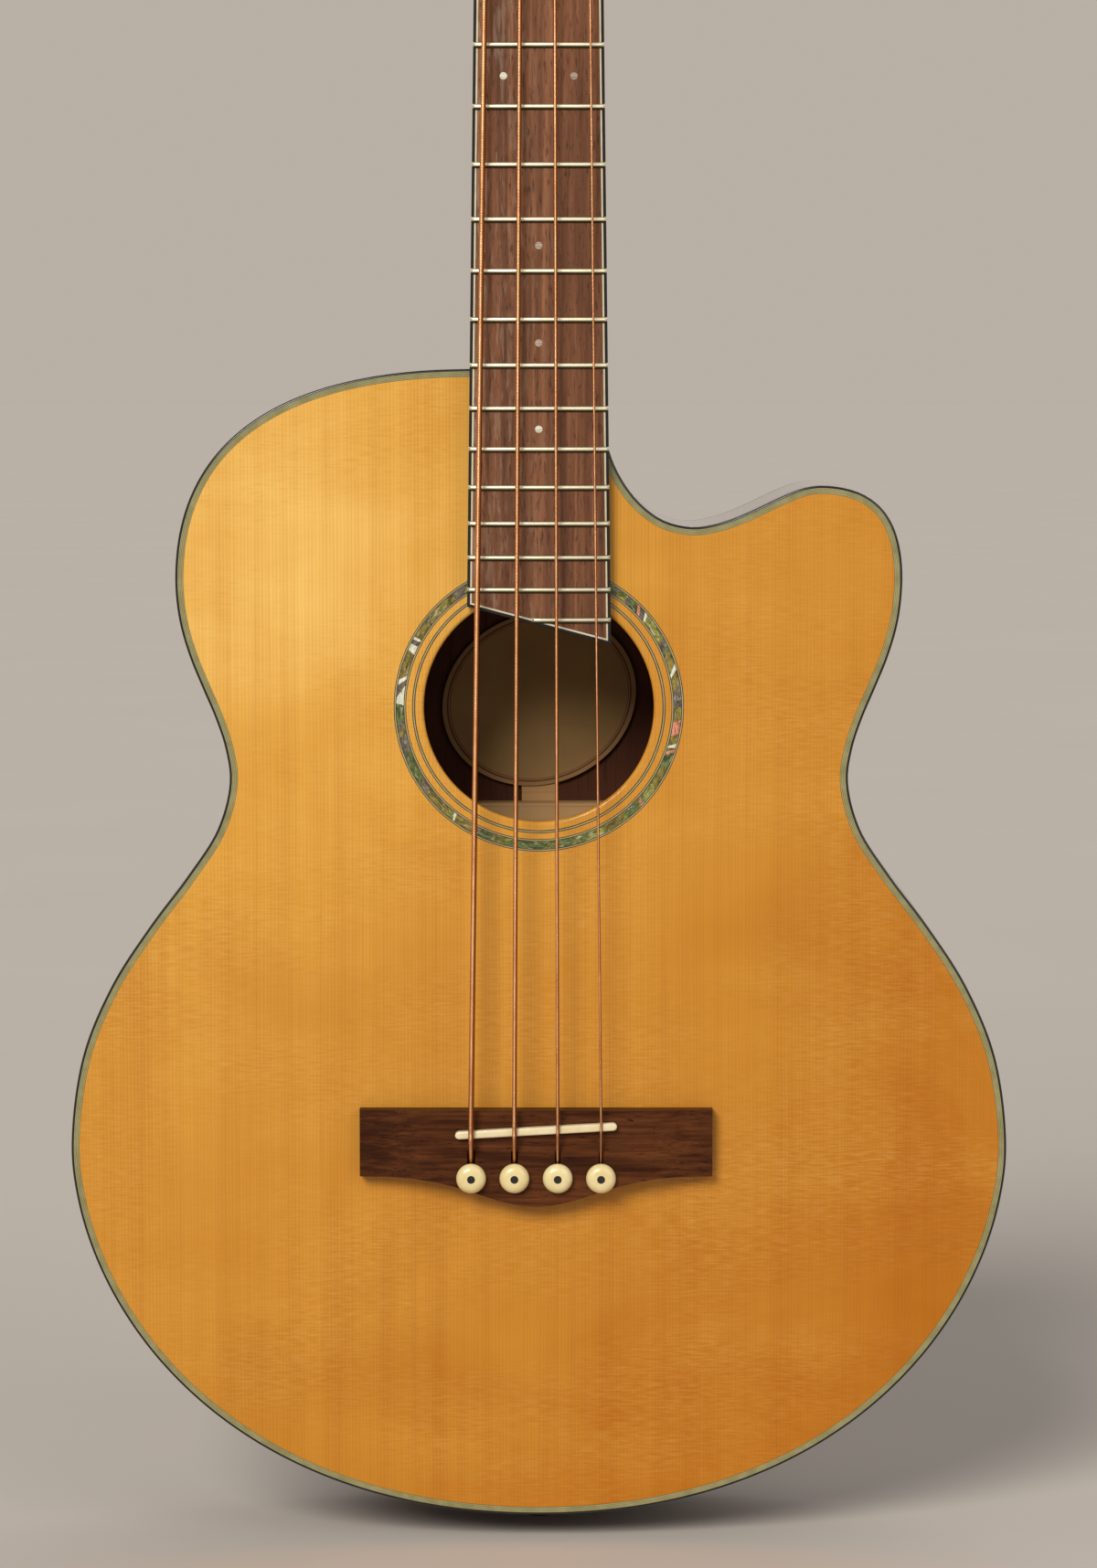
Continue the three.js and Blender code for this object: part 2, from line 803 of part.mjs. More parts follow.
function makeBridgePlate() {
  const middle = bridgeY + (bridgeAbove - bridgeBelly) / 2;
  const high = soundboardUnder - seam;
  const low = high - plateThickness;
  const plate = box(
    bridgeShift - plateLength / 2,
    bridgeShift + plateLength / 2,
    middle - plateWidth / 2,
    middle + plateWidth / 2,
    low,
    high,
  );
  const holes = cutRings(low - overrun, high + overrun);
  piece('bridge_plate', geometryOf(cutFrom(solid(plate), holes)), maple);
}

// Braces on the back, arched over the strip that covers the back's centre seam
function makeBackBraces() {
  const notch = onBack(
    box(
      -stripWidth / 2 - seam,
      stripWidth / 2 + seam,
      tailY,
      bodyTopY,
      -overrun,
      seam + stripThickness + seam,
    ),
  );
  backBraceShares.forEach((share, i) => {
    const braceY = tailY + bodyLength * share;
    const half = lowerBoutWidth / 2;
    const section = [[-half, seam], [half, seam], [half, backBraceHeight], [-half, backBraceHeight]];
    const beam = bar(section, backBraceWidth);
    const placed = solid(onBack(beam.translate(0, braceY, 0))).intersect(braceSpace);
    const { min, max } = placed.boundingBox();
    const [left, right] = [min[0], max[0]];
    const top = backBraceHeight + overrun;
    const ends = [[left, 1], [right, -1]].map(([end, inward]) => {
      const past = end - inward * overrun;
      const slopeEnd = end + inward * backBraceTaper;
      const wedge = [[past, backBraceTip], [end, backBraceTip], [slopeEnd, top], [past, top]];
      return solid(onBack(bar(wedge, backBraceWidth + overrun).translate(0, braceY, 0)));
    });
    const brace = cutFrom(placed, [solid(notch), ...ends]);
    piece(`back_brace_${i + 1}`, geometryOf(brace), braceSpruce);
  });
}

function makeStripAndLabel() {
  const strip = box(
    -stripWidth / 2,
    stripWidth / 2,
    tailBlockEdge + seam,
    neckBlockEdge - seam,
    seam,
    seam + stripThickness,
  );
  piece('back_strip', onBack(strip), braceSpruce);
  const low = seam + stripThickness + seam;
  const oval = circle(0, 0, 1, labelSides).map(([x, y]) => [
    (x * labelWidth) / 2,
    holeY - labelDrop + (y * labelHeight) / 2,
  ]);
  piece('label', onBack(prism(oval, low, low + labelThickness)), paper);
}

function makeEndButton() {
  const edge = buttonRim / 3;
  const base = buttonProud - seam;
  const profile = [
    [0, 0],
    [buttonRadius - edge, 0],
    [buttonRadius, edge],
    [buttonRadius, buttonRim],
    [buttonWaist, buttonRim * 2],
    [buttonWaist, base - buttonRim],
    [buttonRadius - edge, base],
    [buttonShank, base],
    [buttonShank, buttonProud + sideThickness + buttonDepth],
    [0, buttonProud + sideThickness + buttonDepth],
  ];
  piece('end_button', turned(profile, buttonSides).rotateX(-Math.PI / 2), blackButton);
}

// Bridge, saddle and pins
function bridgeOutline() {
  const half = bridgeWidth / 2;
  const low = bridgeY - bridgeBelow;
  const bottom = bridgeY - bridgeBelly;
  const [startShare, sideHandle, middleHandle] = bellyShares;
  const start = half * startShare;
  const right = stretch(
    [0, bottom],
    [start * middleHandle, bottom],
    [start * (1 - sideHandle), low],
    [start, low],
    bellySteps,
  ).map(({ x, y }) => [x, y]);
  const left = right.slice(1).reverse().map(([x, y]) => [-x, y]);
  const high = bridgeY + bridgeAbove;
  return [[-half, high], [-half, low], ...left, ...right, [half, low], [half, high]];
}

function stadium(length, thickness) {
  const radius = thickness / 2;
  const reach = length / 2 - radius;
  const end = (sign) =>
    Array.from({ length: saddleFacets + 1 }, (_, i) => {
      const angle = Math.PI * (i / saddleFacets - 1 / 2);
      return [sign * (reach + radius * Math.cos(angle)), sign * radius * Math.sin(angle)];
    });
  return [...end(1), ...end(-1)];
}

function onSaddleLine(geometry) {
  return geometry.rotateZ(saddleAngle).translate(bridgeShift, bridgeY - saddleDrop, 0);
}

// The path of one string from the ball under the bridge plate to its turns on the post
function stringPath(index) {
  const radius = stringDiameters[index] / 2;
  const x = pinX(index);
  const slot = pinHole - runningGap - radius;
  const rise = saddleY(x) - pinY;
  const rimY = pinHeadRadius + runningGap;
  const rimZ = bridgeLevel + seam - runningGap - radius * slopeShare;
  const crownZ = saddleLevel + seam + radius;
  const crownHalf = saddleThickness / 2 + radius;
  const slope = (crownZ - rimZ) / (rise - crownHalf - rimY);
  const ballZ = soundboardUnder - seam - plateThickness - seam - ballRadius;
  const nutX = stringX(index, stringSpreadNut);
  const nutZ = boardLevel + fretHeight + firstLift + radius;
  return { radius, x, slot, rise, rimY, rimZ, crownZ, crownHalf, slope, ballZ, nutX, nutZ };
}

function makeBridge() {
  const base = topLevel + seam;
  const half = bridgeWidth / 2;
  const [crownShare, wingShare] = wingShares;
  const shoulder = base + between(bridgeWing, bridgeHeight, wingRiseShare);
  const profile = [
    [-half - overrun, base],
    [half + overrun, base],
    [half + overrun, base + bridgeWing],
    [half * wingShare, shoulder],
    [half * crownShare, bridgeLevel],
    [-half * crownShare, bridgeLevel],
    [-half * wingShare, shoulder],
    [-half - overrun, base + bridgeWing],
  ];
  const width = bridgeAbove + bridgeBelly + overrun * 2;
  const middle = bridgeY + (bridgeAbove - bridgeBelly) / 2;
  const plan = solid(prism(bridgeOutline(), base - overrun, bridgeLevel + overrun));
  const block = plan.intersect(solid(bar(profile, width).translate(0, middle, 0)));
  const slotOutline = stadium(saddleLength + seam * 2, saddleThickness + seam * 2);
  const slot = onSaddleLine(prism(slotOutline, bridgeLevel - saddleSeat - seam, bridgeLevel + overrun));
  const ramps = stringNames.map((_, i) => solid(stringRamp(i)));
  const shifted = block.translate([bridgeShift, 0, 0]);
  const holes = cutRings(base - overrun, bridgeLevel + overrun);
  piece('bridge', geometryOf(cutFrom(shifted, [solid(slot), ...holes, ...ramps])), rosewood);
}

// The notch that lets a string out of its hole, under the pin's head
function stringRamp(index) {
  const { radius, x, slope, rimY, rimZ } = stringPath(index);
  const clear = radius * slopeShare + runningGap;
  const end = rimY + (bridgeLevel + clear - rimZ) / slope;
  const deep = bridgeLevel - rampDepth;
  const outlinePoints = [
    [pinY, deep],
    [pinY + pinHole, deep],
    [pinY + end, bridgeLevel],
    [pinY + end, bridgeLevel + overrun],
    [pinY, bridgeLevel + overrun],
  ];
  return slab(outlinePoints, x - radius - runningGap, x + radius + runningGap);
}

function makeSaddle() {
  const loopAt = (inset, level) =>
    stadium(saddleLength - inset * 2, saddleThickness - inset * 2).map(
      ([x, y]) => new THREE.Vector3(x, y, level),
    );
  const loops = [
    loopAt(0, bridgeLevel - saddleSeat),
    loopAt(0, saddleLevel - saddleRound),
    loopAt(saddleRound, saddleLevel),
  ];
  piece('saddle', onSaddleLine(loft(loops)), bone);
}

function makePins() {
  const rim = pinHeadHeight / 4;
  const profile = [
    [0, -pinLength - rim],
    [pinTip - rim, -pinLength - rim],
    [pinTip, -pinLength],
    [pinShaft, 0],
    [pinHeadRadius - rim, 0],
    [pinHeadRadius, rim],
    [pinHeadRadius - rim / 2, rim * 2],
    [pinHeadRadius * pinDomeShare, pinHeadHeight - rim / 2],
    [0, pinHeadHeight],
  ];
  stringNames.forEach((name, i) => {
    const { radius, x, slot } = stringPath(i);
    const floor = slot - radius - runningGap;
    const half = radius + runningGap;
    const groove = box(-half, half, floor, pinHeadRadius, -pinLength - overrun, 0);
    const peg = solid(turned(profile, pinSides)).subtract(solid(groove));
    const mesh = piece(`bridge_pin_${name}`, geometryOf(peg), creamPlastic);
    mesh.position.set(x, pinY, bridgeLevel + seam);
  });
}

// A round solid along a line of points, with its section carried along without twist
function sweep(points, radius, sides) {
  const along = points.map((point, i) => {
    const from = points[Math.max(i - 1, 0)];
    const to = points[Math.min(i + 1, points.length - 1)];
    return to.clone().sub(from).normalize();
  });
  let across = new THREE.Vector3(1, 0, 0);
  const loops = points.map((point, i) => {
    across = across.clone().addScaledVector(along[i], -across.dot(along[i])).normalize();
    const third = new THREE.Vector3().crossVectors(along[i], across);
    return Array.from({ length: sides }, (_, j) => {
      const angle = (2 * Math.PI * (j + 1 / 2)) / sides;
      return point
        .clone()
        .addScaledVector(across, radius * Math.cos(angle))
        .addScaledVector(third, radius * Math.sin(angle));
    });
  });
  return loft(loops);
}

// From the ball, up the pin's slot, out under the head and over the saddle
function anchorPoints(path) {
  const { radius, x, slot, rise, rimY, rimZ, crownZ, crownHalf, slope, ballZ } = path;
  const point = (y, z) => new THREE.Vector3(x, pinY + y, z);
  const bend = radius * 2;
  return [
    point(pinShaft + ballRadius, ballZ),
    point(slot + bend / 2, ballZ),
    point(slot, ballZ + bend / 2),
    point(slot, rimZ - bend * 2),
    point(slot + bend / 4, rimZ - bend),
    point(between(slot, rimY, 1 / 2), rimZ - bend / 4 - (rimY - slot) * slope / 4),
    point(rimY, rimZ),
    point(rise - crownHalf - radius, crownZ - radius * slope),
    point(rise - crownHalf + radius / 2, crownZ),
    point(rise + crownHalf, crownZ),
  ];
}

// From the nut to the post and round it, in the headstock's frame
function headPoints(index, path) {
  const { radius, nutX, nutZ } = path;
  const { side, y } = tunerBases[index];
  const centre = new THREE.Vector2(postReach, y);
  const start = toHead(new THREE.Vector3(nutX * side, nutBackY, nutZ));
  const turnRadius = postWaist + runningGap + radius;
  const toPost = centre.clone().sub(new THREE.Vector2(start.x, start.y));
  const swing = Math.asin(turnRadius / toPost.length());
  const direction = toPost.clone().normalize().rotateAround(new THREE.Vector2(), swing);
  const low = headFace + waistLow + radius + runningGap;
  const pitch = radius * 2 + windingGap;
  const steps = Math.round(windingTurns * windingSteps);
  const turns = Array.from({ length: steps + 1 }, (_, i) => {
    const turn = i / windingSteps;
    const angle = Math.atan2(direction.x, -direction.y) - turn * 2 * Math.PI;
    return new THREE.Vector3(
      centre.x + turnRadius * Math.cos(angle),
      centre.y + turnRadius * Math.sin(angle),
      low + pitch * turn,
    );
  });
  return turns.map((point) => fromHead(new THREE.Vector3(point.x * side, point.y, point.z)));
}

function makeStrings() {
  stringNames.forEach((name, i) => {
    const path = stringPath(i);
    const { radius, x, nutX, nutZ, ballZ } = path;
    const points = [
      ...anchorPoints(path),
      new THREE.Vector3(nutX, nutY - radius, nutZ),
      new THREE.Vector3(nutX, nutBackY + radius, nutZ),
      ...headPoints(i, path),
    ];
    const wire = solid(sweep(points, radius, stringSides));
    const ballRound = circle(pinY + pinShaft + ballRadius, ballZ, ballRadius, ballSides);
    const ball = slab(ballRound, x - ballLength / 2, x + ballLength / 2);
    piece(`string_${name}`, geometryOf(wire.add(solid(ball))), bronze);
  });
}

// Fingerboard. Its top is arched across, and its lower end is cut at a slant.
const archDrop = (x) => boardRadius - Math.sqrt(boardRadius ** 2 - x ** 2);

function archedBlock(yFrom, yTo, low) {
  const loopAt = (y) => {
    const half = boardWidth(y) / 2;
    const arch = Array.from({ length: archSteps + 1 }, (_, i) => {
      const x = half - (2 * half * i) / archSteps;
      return new THREE.Vector3(x, y, boardLevel - archDrop(x));
    });
    return [new THREE.Vector3(-half, y, low), new THREE.Vector3(half, y, low), ...arch];
  };
  return loft([loopAt(yFrom), loopAt(yTo)]);
}

function boardPlan(inset, end) {
  const lastFret = fretY(fretCount);
  const bassEnd = lastFret + boardEndBass;
  const trebleEnd = lastFret - boardEndTreble;
  const half = (y) => boardWidth(y) / 2 - inset;
  const slant = Math.atan2(bassEnd - trebleEnd, boardWidth(bassEnd));
  const lift = inset / Math.cos(slant);
  const endWidth = half(bassEnd) + half(trebleEnd);
  const cut = (x) => between(bassEnd, trebleEnd, (x + half(bassEnd)) / endWidth) + lift;
  const left = -half(bassEnd);
  const right = half(trebleEnd);
  return [[left, cut(left)], [right, cut(right)], [half(end), end], [-half(end), end]];
}

function fretBar(fret) {
  const y = fretY(fret);
  const half = boardWidth(y) / 2 - seam;
  const crown = fretWidth / 4;
  const loops = Array.from({ length: archSteps + 1 }, (_, i) => {
    const x = -half + (2 * half * i) / archSteps;
    const level = boardLevel - archDrop(x);
    return [
      new THREE.Vector3(x, y - fretWidth / 2, level - fretFoot),
      new THREE.Vector3(x, y + fretWidth / 2, level - fretFoot),
      new THREE.Vector3(x, y + crown, level + fretHeight),
      new THREE.Vector3(x, y - crown, level + fretHeight),
    ];
  });
  return solid(loft(loops));
}

function makeFingerboard() {
  const bottom = topLevel + seam;
  const low = fretY(fretCount) - boardEndTreble - overrun;
  const plank = solid(archedBlock(low, nutY - seam, bottom));
  const under = bottom - overrun;
  const over = boardLevel + overrun;
  const innerPlan = boardPlan(boardBinding + seam, nutY);
  const outerPlan = boardPlan(0, nutY);
  const inner = plank.intersect(solid(prism(innerPlan, under, over)));
  const fretField = solid(prism(boardPlan(seam, nutY), under, over));
  const frets = Array.from({ length: fretCount }, (_, i) => fretBar(i + 1).intersect(fretField));
  const board = frets.reduce((joined, fret) => joined.add(fret), inner);
  piece('fingerboard', geometryOf(board), fingerboardWood);

  const core = solid(prism(boardPlan(boardBinding, nutY + overrun), under, over));
  const rim = plank.intersect(solid(prism(outerPlan, under, over))).subtract(core);
  const underFrets = rim.translate([0, 0, -fretFoot - seam]);
  const base = solid(prism(outerPlan, bottom, over));
  piece('fingerboard_binding', geometryOf(underFrets.intersect(base)), blackBinding);
}

function makeNut() {
  const half = boardNutWidth / 2;
  const bottom = topLevel + seam;
  const block = solid(box(-half, half, nutY, nutBackY - seam, bottom, boardLevel + nutRise));
  const slots = stringNames.map((_, i) => {
    const { radius, nutX, nutZ } = stringPath(i);
    const reach = radius + seam;
    const [from, to] = [nutY - overrun, nutBackY + overrun];
    return solid(box(nutX - reach, nutX + reach, from, to, nutZ - reach, boardLevel + nutRise + overrun));
  });
  piece('nut', geometryOf(cutFrom(block, slots)), bone);
}

// The headstock's frame starts at the back of the nut and tilts away from the strings
const headFrame = new THREE.Matrix4()
  .makeTranslation(0, nutBackY, topLevel)
  .multiply(new THREE.Matrix4().makeRotationX(-headTilt));
const headFrameBack = headFrame.clone().invert();
const toHead = (point) => point.clone().applyMatrix4(headFrameBack);
const fromHead = (point) => point.clone().applyMatrix4(headFrame);
const headFace = seam + overlayThickness;
const tunerBases = stringNames.map((_, index) => {
  const side = index < stringNames.length / 2 ? -1 : 1;
  const far = index > 0 && index < stringNames.length - 1;
  return { side, y: headLength * postShares[far ? 1 : 0] };
});

function headOutline(from) {
  const nutHalf = boardNutWidth / 2;
  const half = headWidth / 2;
  const tip = headTipWidth / 2;
  const [flareStart, flareEnd, tipStart] = headShares.map((share) => headLength * share);
  const flarePoints = [[nutHalf, 0], [nutHalf, flareStart], [half, flareStart], [half, flareEnd]];
  const crestPoints = [[tip, tipStart], [tip, headLength], [tip / 2, headLength], [0, headLength]];
  const flare = stretch(...flarePoints, headSteps);
  const crest = stretch(...crestPoints, headSteps);
  const right = [...flare, ...crest].map(({ x, y }) => [x, Math.max(y, from)]);
  const left = right.slice(0, -1).reverse().map(([x, y]) => [-x, y]);
  return [...right, ...left];
}

function postHoles(radius, low, high) {
  return tunerBases.map(({ side, y }) =>
    solid(prism(circle(side * postReach, y, radius, postSides), low, high)),
  );
}

// Neck, heel and headstock from one blank
function neckLoop(y, half, depth, roundness) {
  const rounded = (value) => Math.sign(value) * Math.abs(value) ** (2 / roundness);
  return Array.from({ length: neckFacets + 1 }, (_, i) => {
    const angle = (Math.PI * i) / neckFacets;
    const level = topLevel - depth * rounded(Math.sin(angle));
    return new THREE.Vector3(half * rounded(Math.cos(angle)), y, level);
  });
}

function neckShaft() {
  const start = bodyTopY + seam;
  const heelDepth = neckEndDepth - heelInset;
  const station = (y, dropShare) => {
    const along = (nutY - y) / (nutY - bodyTopY);
    const depth = between(neckDepthNut, neckDepthHeel, Math.max(along, 0));
    const half = Math.min(boardWidth(y), boardWidth(bodyTopY)) / 2;
    const roundness = between(neckRoundness, heelRoundness, dropShare);
    return neckLoop(y, half, between(depth, heelDepth, dropShare), roundness);
  };
  const curve = Array.from({ length: heelSteps + 1 }, (_, i) => {
    const angle = (Math.PI / 2) * (i / heelSteps);
    return [start + heelFoot + (heelRun - heelFoot) * (1 - Math.cos(angle)), 1 - Math.sin(angle)];
  });
  return loft([
    station(start, 1),
    ...curve.map(([y, share]) => station(y, share)),
    station(nutY, 0),
    station(nutBackY, 0),
  ]);
}

function makeNeck() {
  const head = prism(headOutline(0), -headThickness, 0).applyMatrix4(headFrame);
  const blank = solid(neckShaft()).add(solid(head));
  const wide = postHoles(ferruleRadius + seam, -ferruleDepth - seam, overrun);
  const narrow = postHoles(postRadius + runningGap + seam, -headThickness - overrun, overrun);
  const holes = [...wide, ...narrow].map((hole) => moved(hole, headFrame));
  const rodHigh = nutBackY + rodProud;
  const channelHalf = rodRadius + seam;
  const channel = box(
    -channelHalf,
    channelHalf,
    bodyTopY + rodEnd - seam,
    rodHigh,
    topLevel - rodDepth - channelHalf,
    topLevel + overrun,
  );
  const pocketHalf = rodNutRadius + seam;
  const pocket = box(
    -pocketHalf,
    pocketHalf,
    rodHigh - rodNutLength - seam,
    nutBackY + rodSlot,
    topLevel - rodDepth - pocketHalf,
    topLevel + overrun,
  );
  piece('neck', geometryOf(cutFrom(blank, [...holes, solid(channel), solid(pocket)])), neckMahogany);
}

function moved(body, matrix) {
  return body.transform(matrix.elements);
}

function makeTrussRod() {
  const high = nutBackY + rodProud;
  const low = bodyTopY + rodEnd;
  const rod = turned([[0, 0], [rodRadius, 0], [rodRadius, high - low], [0, high - low]], rodSides);
  const nutProfile = [[0, 0], [rodNutRadius, 0], [rodNutRadius, rodNutLength], [0, rodNutLength]];
  const nut = turned(nutProfile, rodNutSides);
  const nutPlaced = solid(nut.translate(0, 0, high - low - rodNutLength));
  const joined = geometryOf(solid(rod).add(nutPlaced)).rotateX(-Math.PI / 2);
  piece('truss_rod', joined.translate(0, low, topLevel - rodDepth), steel);
}

const headGroup = new THREE.Group();
headGroup.position.set(0, nutBackY, topLevel);
headGroup.rotation.x = -headTilt;
root.add(headGroup);

function makeOverlay() {
  const sheet = solid(prism(headOutline(seam), seam, headFace));
  const holes = postHoles(ferruleRadius + seam, -overrun, headFace + overrun);
  const half = rodNutRadius + seam;
  const slot = solid(box(-half, half, -overrun, rodSlot, -overrun, headFace + overrun));
  piece('headstock_overlay', geometryOf(cutFrom(sheet, [...holes, slot])), rosewood, headGroup);
}

// Tuners. Each is drawn about its post's axis, with z = 0 at the wood's face.
const plateHigh = -headThickness - seam;
const plateLow = plateHigh - tunerPlate;
const gearPitchRadius = (gearTeeth * threadPitch) / (2 * Math.PI);
const wormTip = wormPitchRadius + addendum;
const wormRoot = wormPitchRadius - dedendum;
const gearLevel = plateLow - wormTip - runningGap;
const wormY = -(gearPitchRadius + wormPitchRadius);
const flank = Math.tan(THREE.MathUtils.degToRad(flankAngle));
const lugInner = wormLength / 2 + runningGap;
const lugOuter = lugInner + lugThickness;

function makeFerrule(name, parent) {
  const bore = postRadius + runningGap;
  const seat = headFace + seam;
  const profile = [
    [bore, -ferruleDepth],
    [ferruleRadius, -ferruleDepth],
    [ferruleRadius, seat],
    [ferruleFlange, seat],
    [ferruleFlange, seat + ferruleRim / 2],
    [ferruleFlange - ferruleRim / 2, seat + ferruleRim],
    [bore, seat + ferruleRim],
  ];
  piece(`ferrule_${name}`, turned(profile, postSides), chrome, parent);
}

function makeTunerPlate(name, parent) {
  const half = tunerPlateWidth / 2;
  const sheet = box(-half, half, -tunerPlateBelow, tunerPlateAbove, plateLow, plateHigh);
  const lugPoints = Array.from({ length: lugFacets + 1 }, (_, i) => {
    const angle = Math.PI * (i / lugFacets);
    return [wormY - lugHalfWidth * Math.cos(angle), gearLevel - lugHalfWidth * Math.sin(angle)];
  });
  const lugOutline = [
    [wormY - lugHalfWidth, plateLow + tunerPlate / 2],
    ...lugPoints,
    [wormY + lugHalfWidth, plateLow + tunerPlate / 2],
  ];
  const lugs = [-1, 1].map((end) => solid(slab(lugOutline, end * lugInner, end * lugOuter)));
  const screws = [-1, 1].flatMap((end) =>
    [tunerPlateAbove - screwInset, -tunerPlateBelow + screwInset].map((y) => {
      const round = circle(end * (half - screwInset), y, screwRadius, screwSides);
      return solid(prism(round, plateLow - screwHeight, plateHigh));
    }),
  );
  const joined = [...lugs, ...screws].reduce((body, part) => body.add(part), solid(sheet));
  const shaftHole = slab(
    circle(wormY, gearLevel, keyShaft + runningGap, lugSides),
    -lugOuter - overrun,
    lugOuter + overrun,
  );
  const postRound = circle(0, 0, postRadius + runningGap, postSides);
  const postHole = prism(postRound, plateLow - overrun, plateHigh + overrun);
  const plate = cutFrom(joined, [solid(shaftHole), solid(postHole)]);
  piece(`tuner_plate_${name}`, geometryOf(plate), chrome, parent);
}

// The gear's teeth lean by the worm's lead
function gearBody() {
  const lean = threadPitch / (2 * Math.PI * wormPitchRadius * gearPitchRadius);
  const tipHalf = (toothWidth / 2 - addendum * flank) / (gearPitchRadius + addendum);
  const rootHalf = (toothWidth / 2 + dedendum * flank) / (gearPitchRadius - dedendum);
  const loopAt = (z) =>
    Array.from({ length: gearTeeth }, (_, tooth) => {
      const middle = -Math.PI / 2 + ((tooth + 1 / 2) * 2 * Math.PI) / gearTeeth + lean * z;
      return [
        [-rootHalf, gearPitchRadius - dedendum],
        [-tipHalf, gearPitchRadius + addendum],
        [tipHalf, gearPitchRadius + addendum],
        [rootHalf, gearPitchRadius - dedendum],
      ].map(([turn, reach]) => {
        const angle = middle + turn;
        return new THREE.Vector3(reach * Math.cos(angle), reach * Math.sin(angle), gearLevel + z);
      });
    }).flat();
  return loft([loopAt(-gearThickness / 2), loopAt(gearThickness / 2)]);
}

function makePost(name, parent) {
  const top = headFace + postHeight;
  const edge = ferruleRim / 2;
  const gearLow = gearLevel - gearThickness / 2;
  const profile = [
    [0, top],
    [postRadius - edge, top],
    [postRadius, top - edge],
    [postRadius, headFace + waistHigh + edge * 2],
    [postWaist, headFace + waistHigh],
    [postWaist, headFace + waistLow],
    [postRadius, headFace + waistLow - edge * 2],
    [postRadius, plateLow - runningGap],
    [gearHub, plateLow - runningGap],
    [gearHub, gearLow],
    [screwRadius, gearLow - screwHeight],
    [0, gearLow - screwHeight],
  ];
  const shaft = solid(turned(profile, postSides)).add(solid(gearBody()));
  const half = postSlotWidth / 2;
  const reach = postRadius + overrun;
  const slot = box(-half, half, -reach, reach, top - postSlotDepth, top + overrun);
  piece(`gear_post_${name}`, geometryOf(shaft.subtract(solid(slot))), chrome, parent);
}

// A single-start thread swept round the key's shaft, which runs along x
function wormThread() {
  const turns = Math.floor(wormLength / threadPitch / 2) * 2;
  const rootHalf = threadWidth / 2 + dedendum * flank;
  const tipHalf = threadWidth / 2 - addendum * flank;
  const section = [
    [-rootHalf, wormRoot - seam],
    [-tipHalf, wormTip],
    [tipHalf, wormTip],
    [rootHalf, wormRoot - seam],
  ];
  const loops = Array.from({ length: turns * wormSteps + 1 }, (_, i) => {
    const turn = i / wormSteps - turns / 2;
    const angle = turn * 2 * Math.PI;
    return section.map(
      ([shift, radius]) =>
        new THREE.Vector3(turn * threadPitch + shift, radius * Math.cos(angle), radius * Math.sin(angle)),
    );
  });
  return loft(loops);
}

function keyHandle() {
  const middle = keyReach + keyRadius;
  const loopAt = (z, inset) =>
    Array.from({ length: keySides }, (_, i) => {
      const angle = (2 * Math.PI * i) / keySides;
      const radius = keyRadius - inset - keyLobe * (1 - Math.abs(Math.cos((3 / 2) * angle)));
      return new THREE.Vector3(middle + radius * Math.cos(angle), radius * Math.sin(angle), z);
    });
  const half = keyThickness / 2;
  const edge = keyThickness / 4;
  return loft([loopAt(-half, edge), loopAt(-edge, 0), loopAt(edge, 0), loopAt(half, edge)]);
}

function makeKey(name, parent) {
  const collarStart = lugOuter + runningGap;
  const profile = [
    [0, -lugOuter - lugThickness / 2],
    [keyShaft, -lugOuter - lugThickness / 2],
    [keyShaft, -wormLength / 2],
    [wormRoot, -wormLength / 2],
    [wormRoot, wormLength / 2],
    [keyShaft, wormLength / 2],
    [keyShaft, collarStart],
    [collarRadius, collarStart],
    [collarRadius, collarStart + collarLength],
    [keyShaft, collarStart + collarLength],
    [keyShaft, keyReach + keyLobe * 2],
    [0, keyReach + keyLobe * 2],
  ];
  const shaft = solid(turned(profile, wormSteps, 0).rotateY(Math.PI / 2));
  const key = shaft.add(solid(wormThread())).add(solid(keyHandle()));
  const mesh = piece(`key_worm_${name}`, geometryOf(key), chrome, parent);
  mesh.position.set(0, wormY, gearLevel);
}

function makeTuners() {
  stringNames.forEach((name, i) => {
    const { side, y } = tunerBases[i];
    const tuner = new THREE.Group();
    tuner.position.set(side * postReach, y, 0);
    tuner.scale.x = side;
    headGroup.add(tuner);
    makeTunerPlate(name, tuner);
    makePost(name, tuner);
    makeKey(name, tuner);
    makeFerrule(name, tuner);
  });
}

makeSoundboard();
makeInlays();
makeBackPlate();
makeSides();
makeBindings();
makeBlocks();
makeLinings();
makeCrossBraces();
makeTopBars();
makeBridgePlate();
makeBackBraces();
makeStripAndLabel();
makeEndButton();
makeBridge();
makeSaddle();
makePins();
makeFingerboard();
makeNut();
makeNeck();
makeTrussRod();
makeOverlay();
makeTuners();
makeStrings();

export default root;
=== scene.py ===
# %% [markdown]
# Acoustic bass guitar
#
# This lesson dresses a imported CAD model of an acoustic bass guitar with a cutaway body.
# The model stands on its end button: +Z runs up the neck, -Y out of the soundboard and +X
# to the treble side. Every length below is in metres.
#
# A solid whose shape already looks right gets a material. One that needs rounded edges, a
# smoother curve or finer parts is replaced by a piece made here from the solid's own
# measures.

